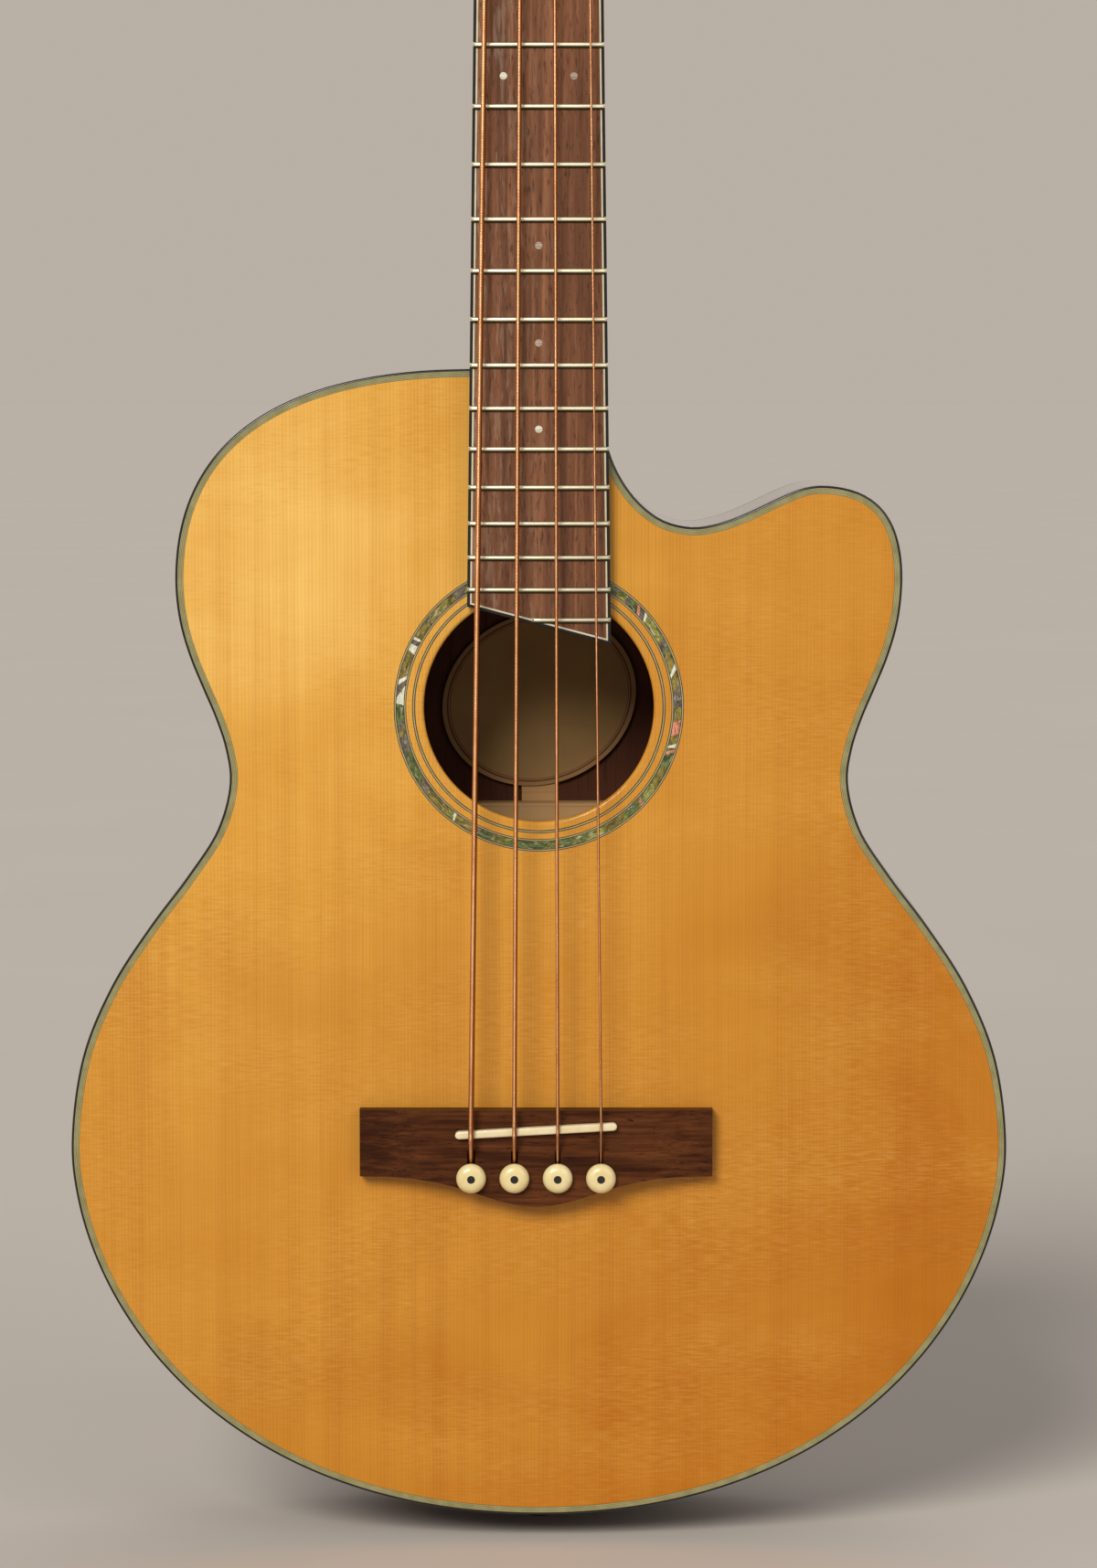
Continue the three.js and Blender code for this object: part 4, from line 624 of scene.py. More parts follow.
# %% [markdown]
# Curves read from the solids
#
# The CAD solids are drawn with straight pieces. For a smooth rim, the loop of edges round
# a flat face is walked, and a curve is passed through its corners, so that a piece made
# here keeps the solid's own shape and place. True corners, as at the neck joint, stay.

# %% Loops from a solid
weld_distance = 0.01 * MM
facing_share = 0.9


def merged(node):
    """A bmesh copy of a solid with its split corners joined."""
    mesh = bmesh.new()
    mesh.from_mesh(nodes[node].data)
    bmesh.ops.remove_doubles(mesh, verts=mesh.verts, dist=weld_distance)
    return mesh


def face_loops(node, facing):
    """The closed loops of edges round the faces that look along facing, longest first."""
    mesh = merged(node)
    facing = Vector(facing)
    turned = [face.normal.dot(facing) > facing_share for face in mesh.faces]
    following = {}
    for edge in mesh.edges:
        sides = [turned[face.index] for face in edge.link_faces]
        if len(sides) == 2 and sides[0] != sides[1]:
            face = edge.link_faces[sides.index(True)]
            corner = next(c for c in face.loops if c.edge == edge)
            following[corner.vert] = corner.link_loop_next.vert
    loops = []
    while following:
        vert, after = following.popitem()
        loop = [vert.co.copy()]
        while after in following:
            loop.append(after.co.copy())
            after = following.pop(after)
        loops.append(loop)
    mesh.free()
    return sorted(loops, key=loop_length, reverse=True)


def loop_length(loop):
    return sum((b - a).length for a, b in zip(loop, loop[1:] + loop[:1]))

# %% Smooth curves
def smooth_loop(loop, step, corner_degrees=24):
    """The loop with rounded stretches between its true corners, a point every step."""
    count = len(loop)
    def bend(i):
        return (loop[i] - loop[i - 1]).angle(loop[(i + 1) % count] - loop[i], 0)
    sharp = [bend(i) > math.radians(corner_degrees) for i in range(count)]
    points = []
    for i in range(count):
        before, start, end, after = (loop[(i + k) % count] for k in (-1, 0, 1, 2))
        if sharp[i]:
            before = start - (end - start)
        if sharp[(i + 1) % count]:
            after = end + (end - start)
        pieces = max(1, round((end - start).length / step))
        points += [spline_point(before, start, end, after, k / pieces) for k in range(pieces)]
    return points


def spline_point(before, start, end, after, share, least=1e-9):
    """A point between start and end on the curve through all four.

    The curve is spaced by their distances, which are never taken as less than least.
    """
    pairs = (before, start), (start, end), (end, after)
    gaps = [max((b - a).length, least) ** 0.5 for a, b in pairs]
    t0, t1 = 0, gaps[0]
    t2, t3 = gaps[0] + gaps[1], sum(gaps)
    t = t1 + (t2 - t1) * share
    def blend(a, b, ta, tb):
        return a * ((tb - t) / (tb - ta)) + b * ((t - ta) / (tb - ta))
    first, middle, last = blend(before, start, t0, t1), blend(start, end, t1, t2), blend(end, after, t2, t3)
    return blend(blend(first, middle, t0, t2), blend(middle, last, t1, t3), t1, t2)


front_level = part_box("soundboard")[0].y
rim_step = 3 * MM
rim_loop = smooth_loop(face_loops("binding_top", (0, -1, 0))[0], rim_step)
print("rim:", len(rim_loop), "points,", round(loop_length(rim_loop), 3), "m round")

# %% [markdown]
# Making and placing pieces
#
# Each piece made here is a mesh with one or more finishes. It rides on the body that its
# solid belongs to and stands for the solid, which is then hidden. Smooth shading stops at
# real edges, so flat faces stay flat.

# %% Piece maker
def piece_of(name, mesh, finishes, stands_for=(), body=None, slot=None, crease=38):
    """Turns a bmesh or a mesh into a finished piece that rides on its body."""
    data = bpy.data.meshes.new(name) if isinstance(mesh, bmesh.types.BMesh) else mesh
    for finish in finishes:
        data.materials.append(finish)
    if data is not mesh:
        bmesh.ops.recalc_face_normals(mesh, faces=mesh.faces)
        mesh.to_mesh(data)
        mesh.free()
    data.polygons.foreach_set("use_smooth", [True] * len(data.polygons))
    if crease:
        data.set_sharp_from_angle(angle=math.radians(crease))
    piece = bpy.data.objects.new(name, data)
    scene.collection.objects.link(piece)
    likeness = nodes[stands_for[0]] if stands_for else None
    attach(piece, body or (likeness["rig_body"] if likeness else "guitar"))
    if stands_for:
        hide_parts(*stands_for)
    print("piece:", name, len(data.polygons), "faces")
    return piece


def add_skin(mesh, rows, closed_rows=False, closed_row=True, finish_of=lambda i, j: 0):
    """Quads between rows of points. finish_of gives the finish of the quad at row i, point j."""
    verts = [[mesh.verts.new(point) for point in row] for row in rows]
    row_count = len(rows) if closed_rows else len(rows) - 1
    for i in range(row_count):
        near, far = verts[i], verts[(i + 1) % len(rows)]
        point_count = len(near) if closed_row else len(near) - 1
        for j in range(point_count):
            k = (j + 1) % len(near)
            quad = mesh.faces.new((near[j], near[k], far[k], far[j]))
            quad.material_index = finish_of(i, j)
    return verts

# %% [markdown]
# The rim: binding, plies, sides and back
#
# A guitar's rim is one outline with many thin parts on it, so each part is a small section
# swept round the outline at its own inset. The top binding's edge is rounded over, which
# draws the bright line along the shoulder, and the plies beside it are separate strips of
# the section with their own finishes. The back leans forward towards the neck, so the
# depth of a section's point is counted either from the front or from the back.

# %% Section round the rim
tail_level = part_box("side_bass")[0].z
back_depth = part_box("binding_back")[1].y
top_level_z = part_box("side_bass")[1].z
neck_end_depth = 88 * MM
back_slope = (back_depth - front_level - neck_end_depth) / (top_level_z - tail_level)


def back_surface(z):
    """The level of the back at a height, as the body tapers towards the neck."""
    return back_depth - (z - tail_level) * back_slope


def inward_normals(loop, sharpest=0.4):
    """At each point the direction into the body, longer at a corner so that insets stay even.

    sharpest keeps the direction at a very sharp corner from growing too long.
    """
    area = sum(a.x * b.z - b.x * a.z for a, b in zip(loop, loop[1:] + loop[:1]))
    turn = 1 if area > 0 else -1
    def side(a, b):
        step = (b - a).normalized()
        return Vector((-step.z, 0, step.x)) * turn
    normals = []
    for i, point in enumerate(loop):
        first = side(loop[i - 1], point)
        second = side(point, loop[(i + 1) % len(loop)])
        middle = (first + second).normalized()
        normals.append(middle / max(middle.dot(first), sharpest))
    return normals


rim_inward = inward_normals(rim_loop)


def rim_row(inset, depth, from_back=False):
    """The outline at an inset, at a depth behind the front or in front of the back."""
    row = []
    for point, inward in zip(rim_loop, rim_inward):
        place = point + inward * inset
        level = back_surface(place.z) - depth if from_back else front_level + depth
        row.append(Vector((place.x, level, place.z)))
    return row


def swept_rim(name, section, finishes, finish_of=lambda i, j: 0, stands_for=()):
    """A piece with one section all round the rim. finish_of is as for add_skin."""
    mesh = bmesh.new()
    rows = [rim_row(*point) for point in section]
    add_skin(mesh, rows, closed_rows=True, finish_of=finish_of)
    return piece_of(name, mesh, finishes, stands_for)


# %% Top binding with its plies
def quarter_round(radius, steps):
    """Insets and depths of a rounded edge, from the face to the side."""
    angles = [math.radians(90 * k / steps) for k in range(steps + 1)]
    return [(radius * (1 - math.sin(angle)), radius * (1 - math.cos(angle))) for angle in angles]


binding_wide = 1.5 * MM
binding_deep = 6.5 * MM
plies_wide = 2 * MM
top_thick = 3.2 * MM
edge_round = 0.95 * MM
ply_lines = [0.16, 0.5, 0.13, 0.5, 0.13, 0.5, 0.13, 0.38]
ply_finishes = [2, 1] * 4

rounding = quarter_round(edge_round, 6)
ply_edges = [binding_wide + plies_wide]
for wide in ply_lines:
    ply_edges.append(ply_edges[-1] - wide * MM)
section = [(inset, 0) for inset in ply_edges] + rounding
section += [(0, binding_deep), (binding_wide, binding_deep)]
section += [(binding_wide, top_thick), (ply_edges[0], top_thick)]
swept_rim(
    "binding_top_plies",
    section,
    [black_plastic, olive_ply, dark_ply],
    lambda i, j: ply_finishes[i] if i < len(ply_finishes) else 0,
    ["binding_top"],
)
print("plies end", round(ply_edges[-1] / MM, 2), "mm in, black from there out")

# %% Sides
side_thick = 2.6 * MM
side_section = [(0, binding_deep), (side_thick, binding_deep)]
side_section += [(inset, depth, True) for inset, depth in side_section[::-1]]
side_woods = [body_mahogany, inside_mahogany]
swept_rim("side_rim", side_section, side_woods, lambda i, j: int(i == 1), ["side_bass", "side_treble"])

# %% Back binding and back
back_rounding = [(inset, depth, True) for inset, depth in rounding]
back_section = [(binding_wide, 0, True)] + back_rounding
back_section += [(0, binding_deep, True), (binding_wide, binding_deep, True)]
swept_rim("binding_back_rounded", back_section, [black_plastic], stands_for=["binding_back"])


def fill_between(mesh, *rings, finish=0):
    """Flat triangles between loops of verts that lie in one plane."""
    edges = []
    for ring in rings:
        for a, b in zip(ring, ring[1:] + ring[:1]):
            edges.append(mesh.edges.get((a, b)) or mesh.edges.new((a, b)))
    filled = bmesh.ops.triangle_fill(mesh, edges=edges, use_beauty=True)
    for item in filled["geom"]:
        if isinstance(item, bmesh.types.BMFace):
            item.material_index = finish


back_thick = 3 * MM
mesh = bmesh.new()
plate_rows = [rim_row(binding_wide, 0, True), rim_row(binding_wide, back_thick, True)]
outer, inner = add_skin(mesh, plate_rows)
fill_between(mesh, outer)
fill_between(mesh, inner, finish=1)
piece_of("back_board", mesh, [body_mahogany, inside_mahogany], ["back_plate"])

# %% [markdown]
# Soundboard and soundhole
#
# The soundboard is a flat plate, so its face is filled between the rim and a ring outside
# the rosette. From there inwards it is a turned shape: two grooves that hold the inlays,
# and the hole's rounded edge, which catches the light at the lower right.

# %% Soundboard
hole_radius = 49 * MM
ring_inner, ring_outer = 51.3 * MM, 54 * MM
rosette_inner, rosette_outer = 56 * MM, 61.8 * MM
inlay_deep = 1.4 * MM
hole_round = 1.5 * MM
ring_points = 160


def circle(count):
    """The cosine and sine of evenly spaced angles, once round."""
    angles = [whole_turn * k / count for k in range(count)]
    return [(math.cos(angle), math.sin(angle)) for angle in angles]


def ring_row(radius, depth, turns=circle(ring_points)):
    """A circle about the soundhole's centre at a depth behind the soundboard's face."""
    level = front_level + depth
    return [Vector((hole_x + radius * c, level, hole_z + radius * s)) for c, s in turns]


mesh = bmesh.new()
groove_section = []
for inner, outer in ((rosette_inner, rosette_outer), (ring_inner, ring_outer)):
    groove_section += [(outer, 0), (outer, inlay_deep), (inner, inlay_deep), (inner, 0)]
hole_lip = [(hole_radius + inset, depth) for inset, depth in quarter_round(hole_round, 5)]
hole_section = groove_section + hole_lip + [(hole_radius, top_thick)]
rings = add_skin(mesh, [ring_row(*point) for point in hole_section])
face_edge, under_edge = add_skin(mesh, [rim_row(ply_edges[0], 0), rim_row(ply_edges[0], top_thick)])
fill_between(mesh, face_edge, rings[0])
fill_between(mesh, under_edge, rings[-1])
piece_of("soundboard_spruce", mesh, [spruce_finish], ["soundboard"])

# %% [markdown]
# Rosette and line ring
#
# A rosette is laid in a groove as short pieces of shell between thin strips of veneer.
# Here the strips are rings, and the shell is one ring cut on slants into pieces of uneven
# length. Each piece has one of six finishes, and how likely each finish is changes round
# the hole: olive above, smoke at the lower left, teal below, pink at the lower right.

# %% Rings of inlay
veneers = [dark_ply, tan_ply, spruce_finish]
strip_order = [0, 1, 0, 2]


def inlay_rings(name, edges, **place):
    """Flat rings of veneer between radii, from the outside in, on a common sunken base."""
    mesh = bmesh.new()
    rows = [ring_row(radius * MM, 0) for radius in edges]
    rows += [ring_row(edges[-1] * MM, inlay_deep), ring_row(edges[0] * MM, inlay_deep)]
    on_top = strip_order[:len(edges) - 1]
    add_skin(mesh, rows, closed_rows=True, finish_of=lambda i, j: on_top[i] if i < len(on_top) else 0)
    piece_of(name, mesh, veneers, **place)


outer_lines = [61.8, 61.45, 61.05, 60.7]
inner_lines = [57.6, 57.25, 56.85, 56.5]
thin_lines = [54, 53.6, 53.15, 52.7, 51.3]
inlay_rings("line_ring_strips", thin_lines, stands_for=["line_ring"])

# %% Shell
random.seed(11)
piece_turns = (0.022, 0.04, 0.07, 0.11)
least_left = 0.09
common_lean, own_lean = 0.028, 0.4
cuts = [0.0]
while cuts[-1] < whole_turn - least_left:
    cuts.append(cuts[-1] + random.choice(piece_turns) * random.uniform(0.8, 1.25))
next_cuts = cuts[1:] + [whole_turn]
leans = []
for i, cut in enumerate(cuts):
    before = cut - cuts[i - 1] if i else whole_turn - cuts[-1]
    shorter = min(before, next_cuts[i] - cut)
    leans.append(common_lean * math.sin(2 * cut + 1) + random.uniform(-own_lean, own_lean) * shorter)
edge_steps = 4
likely_by_sixth = [
    # olive, smoke, green, teal, flash, pink
    (5, 2, 4, 1, 1.2, 0.1),
    (4, 1, 3, 1, 1.6, 0.1),
    (5, 3, 2, 1, 1.4, 0.1),
    (4, 4, 1.5, 2, 0.5, 0.2),
    (3, 1, 3, 4, 0.6, 0.6),
    (3, 1, 4, 1, 2.2, 2.6),
]


def shell_rim(radius, depth, side):
    """Points round one edge of the shell, some between each pair of slanted cuts."""
    turns = []
    for i, cut in enumerate(cuts):
        lean, lean_after = leans[i], leans[(i + 1) % len(cuts)]
        for k in range(edge_steps):
            reach = (next_cuts[i] - cut + (lean_after - lean) * side) * k / edge_steps
            angle = cut + lean * side + reach
            turns.append((math.cos(angle), math.sin(angle)))
    return ring_row(radius * MM, depth, turns)


sixths = [int(cut / whole_turn * 6) for cut in cuts]
finish_of_piece = [random.choices(range(len(shells)), likely_by_sixth[sixth])[0] for sixth in sixths]
mesh = bmesh.new()
rows = [
    shell_rim(outer_lines[-1], 0, 1),
    shell_rim(inner_lines[0], 0, -1),
    shell_rim(inner_lines[0], inlay_deep, -1),
    shell_rim(outer_lines[-1], inlay_deep, 1),
]
add_skin(mesh, rows, closed_rows=True, finish_of=lambda i, j: finish_of_piece[j // edge_steps])
piece_of("rosette_shell", mesh, list(shells.values()), ["rosette"])
print("shell pieces:", len(cuts))

inlay_rings("rosette_strip_outer", outer_lines, body="guitar", slot="ring_inlay")
inlay_rings("rosette_strip_inner", inner_lines + [56], body="guitar", slot="ring_inlay")

# %% [markdown]
# Fingerboard
#
# The board's face is a shallow arch across and dead straight along. It widens evenly
# towards the body, and its end is cut on a slant so that the treble strings get their last
# fret. A board is bound on its two sides and its end: black outside, a thin cream line
# inside. Both run as one strip round the wood, so they are swept along the same outline.

# %% Board outline
scale_length = 863.6 * MM
nut_low, nut_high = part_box("nut")
nut_front = nut_low.z
bridge_line = nut_front - scale_length
board_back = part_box("fingerboard")[1].y
board_crown = board_back - 7 * MM
board_radius = 406 * MM
last_fret = 24
nut_width = nut_high.x - nut_low.x
end_width = 61 * MM


def fret_z(fret):
    """Each fret leaves the string's length divided by the twelfth root of two once more."""
    return bridge_line + scale_length / 2 ** (fret / 12)


def board_half(z):
    """Half the board's width at a height."""
    share = (nut_front - z) / (nut_front - fret_z(last_fret))
    return (nut_width + (end_width - nut_width) * share) / 2


def board_face(x):
    """The level of the arched face at a distance from the middle."""
    return board_crown + board_radius - math.sqrt(board_radius ** 2 - x ** 2)


nut_gap = 0.3 * MM
bass_end = fret_z(last_fret) + 5.9 * MM
treble_end = fret_z(last_fret) - 10.3 * MM


def board_plan(inset):
    """The outline's bass side, slanted end and treble side at an inset, as four corners."""
    bass = Vector((-board_half(bass_end), bass_end))
    treble = Vector((board_half(treble_end), treble_end))
    slant = (treble - bass).normalized()
    on_end = bass + Vector((-slant.y, slant.x)) * inset
    def meet(corner, side):
        x = side * (board_half(corner.y) - inset)
        return Vector((x, on_end.y + slant.y / slant.x * (x - on_end.x)))
    top = nut_front - nut_gap
    return [
        Vector((inset - board_half(top), top)),
        meet(bass, -1),
        meet(treble, 1),
        Vector((board_half(top) - inset, top)),
    ]


def board_path(inset, side_pieces=24, end_pieces=14):
    """The same outline as many points, so that a strip on it follows the arch."""
    corners = board_plan(inset)
    points = []
    for start, end, pieces in zip(corners, corners[1:], (side_pieces, end_pieces, side_pieces)):
        points += [start.lerp(end, k / pieces) for k in range(pieces)]
    return points + [corners[-1]]


# %% Board binding
black_wide = 1.3 * MM
cream_wide = 0.7 * MM
edge_ease = 0.3 * MM
wood_inset = black_wide + cream_wide
section = [(0, None), (0, edge_ease), (edge_ease, 0)]
section += [(black_wide, 0), (wood_inset, 0), (wood_inset, None)]
cream_from = 3


def strip_finish(i, j):
    """Cream for the section's part from the black's inner edge on."""
    return int(i in (cream_from, cream_from + 1))


rows = []
for inset, drop in section:
    row = []
    for point in board_path(inset):
        level = board_back if drop is None else board_face(point.x) + drop
        row.append(Vector((point.x, level, point.y)))
    rows.append(row)
mesh = bmesh.new()
verts = add_skin(mesh, rows, closed_rows=True, closed_row=False, finish_of=strip_finish)
for k in (0, -1):
    mesh.faces.new([row[k] for row in verts])
piece_of("fingerboard_binding_strips", mesh, [black_plastic, cream_ply], ["fingerboard_binding"])

# %% Board wood
wood = board_plan(wood_inset)
wide_pieces, long_pieces = 14, 40
columns = []
for j in range(wide_pieces + 1):
    share = j / wide_pieces
    low = wood[1].lerp(wood[2], share)
    high = wood[0].lerp(wood[3], share)
    columns.append([low.lerp(high, k / long_pieces) for k in range(long_pieces + 1)])
faces_up = [[Vector((p.x, board_face(p.x), p.y)) for p in column] for column in columns]
faces_down = [[Vector((p.x, board_back, p.y)) for p in column] for column in columns]
mesh = bmesh.new()
top_verts = add_skin(mesh, faces_up, closed_row=False)
low_verts = add_skin(mesh, faces_down, closed_row=False)
edge_walks = [
    (top_verts[0], low_verts[0]),
    (top_verts[-1], low_verts[-1]),
    ([column[0] for column in top_verts], [column[0] for column in low_verts]),
    ([column[-1] for column in top_verts], [column[-1] for column in low_verts]),
]
for upper, lower in edge_walks:
    for a, b, c, d in zip(upper, upper[1:], lower[1:], lower):
        mesh.faces.new((a, b, c, d))
piece_of("fingerboard_wood", mesh, [board_rosewood], ["fingerboard"])

# %% [markdown]
# Frets
#
# A fret is a wire with a low rounded crown, bent to the board's arch and filed at a slant
# over the binding at both ends. The last one is cut short where the slanted end leaves no
# wood for it. The crown is polished by the strings. Its lower side, which faces the body,
# and a thin strip along its upper edge get a dark finish as painted shade, which draws a
# dark line under each bright one.

# %% Frets
fret_wide = 2.5 * MM
fret_tall = 1.13 * MM
fret_sunk = 0.05 * MM
filed_wide = 1.1 * MM
filed_shares = (0, 0.3, 0.65, 1)
filed_rise = 0.25
span_pieces = 12
crown_angles = [math.radians(180 * k / 10) for k in range(11)]
last_fret_start = -2.9 * MM
shaded_from = 6


def capped_skin(rows, finish_of=lambda i, j: 0, first_finish=0, mesh=None):
    """A skin with a flat cap on both ends, in a mesh of its own or in the one given."""
    mesh = bmesh.new() if mesh is None else mesh
    verts = add_skin(mesh, rows, finish_of=finish_of)
    mesh.faces.new(verts[0]).material_index = first_finish
    mesh.faces.new(verts[-1])
    return mesh


def fret_wire(fret):
    """A crown from edge to edge of the board, lower where its ends are filed."""
    z = fret_z(fret)
    left = last_fret_start if fret == last_fret else -board_half(z)
    right = board_half(z)
    filed = [filed_wide * share for share in filed_shares]
    span = right - left - 2 * filed_wide
    inner = [left + filed_wide + span * k / span_pieces for k in range(1, span_pieces)]
    rows = []
    for x in [left + s for s in filed] + inner + [right - s for s in reversed(filed)]:
        rise = min(1, filed_rise + (1 - filed_rise) * min(x - left, right - x) / filed_wide)
        crown = [(fret_wide / 2 * math.cos(a), fret_tall * rise * math.sin(a)) for a in crown_angles]
        crown += [(-fret_wide / 2, -fret_sunk), (fret_wide / 2, -fret_sunk)]
        rows.append([Vector((x, board_face(x) - height, z + shift)) for shift, height in crown])
    # Painted shade: the upper edge and the lower side of the crown get the dark finish.
    mesh = capped_skin(rows, lambda i, j: int(j < 1 or j >= shaded_from))
    finishes = [fret_nickel, fret_painted_shade]
    piece_of(f"fret_{fret:02d}", mesh, finishes, body="guitar", slot="tuner_chrome", crease=50)


for fret in range(1, last_fret + 1):
    fret_wire(fret)
print("fret 12 stands", round((fret_z(12) - bridge_line) / MM, 1), "mm above the bridge line")

# %% [markdown]
# Position dots
#
# Small discs of the rosette's shell mark the places between frets, two of them at the
# octave. Each is cut from another part of the sheet, so some are bright and some are dull.

# %% Dots
dot_radius = 1.55 * MM
dot_shift = 14.8 * MM
dot_edge = [(0.4, 0.04), (0.92, 0.04), (1, 0.02), (1, -1)]
dot_sides = 24
dull_tones = [(104, 92, 82), (158, 138, 124), (206, 186, 170), (116, 106, 88)]
shells["dull"] = abalone("pearl_dull", dull_tones, -0.7, 0.2)
dot_shells = {3: "green", 5: "smoke", 7: "flash", 9: "olive", 15: "dull", 17: "dull", 19: "flash"}


def dot(name, x, fret, shell):
    """A disc in the middle before a fret. dot_edge has shares of its radius and lifts in mm."""
    z = (fret_z(fret) + fret_z(fret - 1)) / 2
    rows = []
    for share, lift in dot_edge:
        row = []
        for c, s in circle(dot_sides):
            px = x + dot_radius * share * c
            row.append(Vector((px, board_face(px) - lift * MM, z + dot_radius * share * s)))
        rows.append(row)
    piece_of(name, capped_skin(rows), [shells[shell]], body="guitar", slot="shell_inlay")


for fret, shell in dot_shells.items():
    dot(f"dot_{fret:02d}", 0, fret, shell)
dot("dot_12_bass", -dot_shift, 12, "flash")
dot("dot_12_treble", dot_shift, 12, "dull")

# %% [markdown]
# Strings
#
# A bass string is a steel core wound with bronze wire, so its outline is a fine screw.
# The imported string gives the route: its mesh is a tube of six-sided rings, and walking
# from ring to ring gives the centre line. A new tube with a wave in its radius follows
# that line, one wave for each turn of the winding.

# %% Centre line of a packed string
def joined_flat(node, degrees=0.8):
    """A bmesh copy of a solid with its flat faces joined, so that only the real edges are left."""
    mesh = merged(node)
    limit = math.radians(degrees)
    bmesh.ops.dissolve_limit(mesh, angle_limit=limit, verts=mesh.verts, edges=mesh.edges)
    return mesh


def string_centre(node, sides=6, most_round=12 * MM):
    """The middles of a string's rings, from the bridge to the post."""
    flat = joined_flat(node, 1)
    caps = [face for face in flat.faces if len(face.verts) == sides and face.calc_perimeter() < most_round]
    cap = max(caps, key=lambda face: face.calc_center_median().z)
    corners = [vert.co.copy() for vert in cap.verts]
    flat.free()
    mesh = merged(node)
    ring = [min(mesh.verts, key=lambda vert: (vert.co - corner).length) for corner in corners]
    seen_verts = set(ring)
    centres = []
    while len(ring) == sides:
        centres.append(sum((vert.co for vert in ring), Vector()) / sides)
        after = {edge.other_vert(vert) for vert in ring for edge in vert.link_edges} - seen_verts
        seen_verts |= after
        ring = sorted(after, key=lambda vert: vert.co[:])
    mesh.free()
    return centres[::-1]


def along(points, step, straight_over=15 * MM):
    """Points every step along a route: rounded at its bends and straight on its long spans."""
    route = []
    for i in range(len(points) - 1):
        start, end = points[i], points[i + 1]
        before = points[i - 1] if i else start * 2 - end
        after = points[i + 2] if i + 2 < len(points) else end * 2 - start
        length = (end - start).length
        pieces = max(1, round(length / step))
        if length > straight_over:
            route += [start.lerp(end, k / pieces) for k in range(pieces)]
        else:
            route += [spline_point(before, start, end, after, k / pieces) for k in range(pieces)]
    return route + [points[-1]]


def tube_rows(route, radius_at, sides):
    """Rings round a route, without twist from one to the next."""
    rows = []
    turns = circle(sides)
    forward = (route[1] - route[0]).normalized()
    side = forward.orthogonal().normalized()
    for i, point in enumerate(route):
        ahead = (route[min(i + 1, len(route) - 1)] - route[max(i - 1, 0)]).normalized()
        side = (side - ahead * side.dot(ahead)).normalized()
        up = ahead.cross(side)
        radius = radius_at(i)
        rows.append([point + side * (radius * c) + up * (radius * s) for c, s in turns])
    return rows


# %% Wound strings
string_names = ["e", "a", "d", "g"]
string_radius = {"e": 1.22 * MM, "a": 1 * MM, "d": 0.77 * MM, "g": 0.545 * MM}
winding_pitch = {"e": 0.58 * MM, "a": 0.52 * MM, "d": 0.46 * MM, "g": 0.4 * MM}
groove_share = 0.13
string_sides = 10


def wound_tube(route, radius, pitch):
    """A screw of crests and grooves.

    The rings lie half a pitch apart, crest and groove in turn. Each climbs by one pitch on
    its way round, so that its end meets the ring after the next.
    """
    groove = radius - groove_share * pitch
    rows = tube_rows(route, lambda i: groove if i % 2 else radius, string_sides)
    mesh = bmesh.new()
    count = len(rows)
    for i, row in enumerate(rows):
        ahead = route[min(i + 1, count - 1)] - route[max(i - 1, 0)]
        for k, point in enumerate(row):
            row[k] = mesh.verts.new(point + ahead.normalized() * (pitch * k / string_sides))
    for i in range(count - 1):
        for k in range(string_sides):
            seam = k + 1 == string_sides
            if seam and i + 3 >= count:
                continue
            near = rows[i + 2][0] if seam else rows[i][k + 1]
            far = rows[i + 3][0] if seam else rows[i + 1][k + 1]
            mesh.faces.new((rows[i][k], near, far, rows[i + 1][k]))
    mesh.faces.new(rows[0] + [rows[2][0], rows[1][0]])
    mesh.faces.new(rows[-1] + [rows[-2][-1], rows[-3][-1]])
    for row in rows[1::2]:
        for a, b in zip(row, row[1:]):
            mesh.edges.get((a, b)).smooth = False
    return mesh


ball_radius = 2.5 * MM
ball_half = 2.45 * MM
ball_gap = 0.1 * MM
plate_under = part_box("bridge_plate")[1].y
pin_shaft = 4 * MM
ball_centres = {}
for name in string_names:
    centres = string_centre("string_" + name)
    pin_low, pin_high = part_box("bridge_pin_" + name)
    ball_z = (pin_low.z + pin_high.z) / 2 + pin_shaft + ball_radius
    ball_centres[name] = Vector((centres[0].x, plate_under + ball_radius + ball_gap, ball_z))
    pitch = winding_pitch[name]
    route = along([ball_centres[name]] + centres, pitch / 2)
    mesh = wound_tube(route, string_radius[name], pitch)
    piece_of(f"string_{name}_wound", mesh, [string_bronze], ["string_" + name], crease=0)
    length = sum((b - a).length for a, b in zip(route, route[1:]))
    print("string", name, round(length, 3), "m,", len(route) // 2, "turns")

# %% Ball ends
ball_brass = metal("ball_brass", srgb(214, 178, 104), srgb(190, 150, 80), 0.2, 0.1, (700, 700, 700))
ball_profile = [(-1, 0.8), (-0.86, 1), (0.86, 1), (1, 0.8)]
ball_sides = 16
for name, centre in ball_centres.items():
    ball_route = [centre + Vector((ball_half * shift, 0, 0)) for shift, share in ball_profile]
    ball_rows = tube_rows(ball_route, lambda i: ball_radius * ball_profile[i][1], ball_sides)
    ball = capped_skin(ball_rows)
    piece_of(f"string_{name}_ball", ball, [ball_brass], body="guitar", slot="string_bronze")

# %% [markdown]
# Solids with eased edges
#
# No edge on a real instrument is perfectly sharp: a file or sandpaper has eased it, and the
# small round catches a line of light. Where the solid's shape is right, a copy gets its
# flat faces joined, a narrow bevel on its real edges and smooth shading on its curves.

# %% Eased copies
real_edge = math.radians(32)


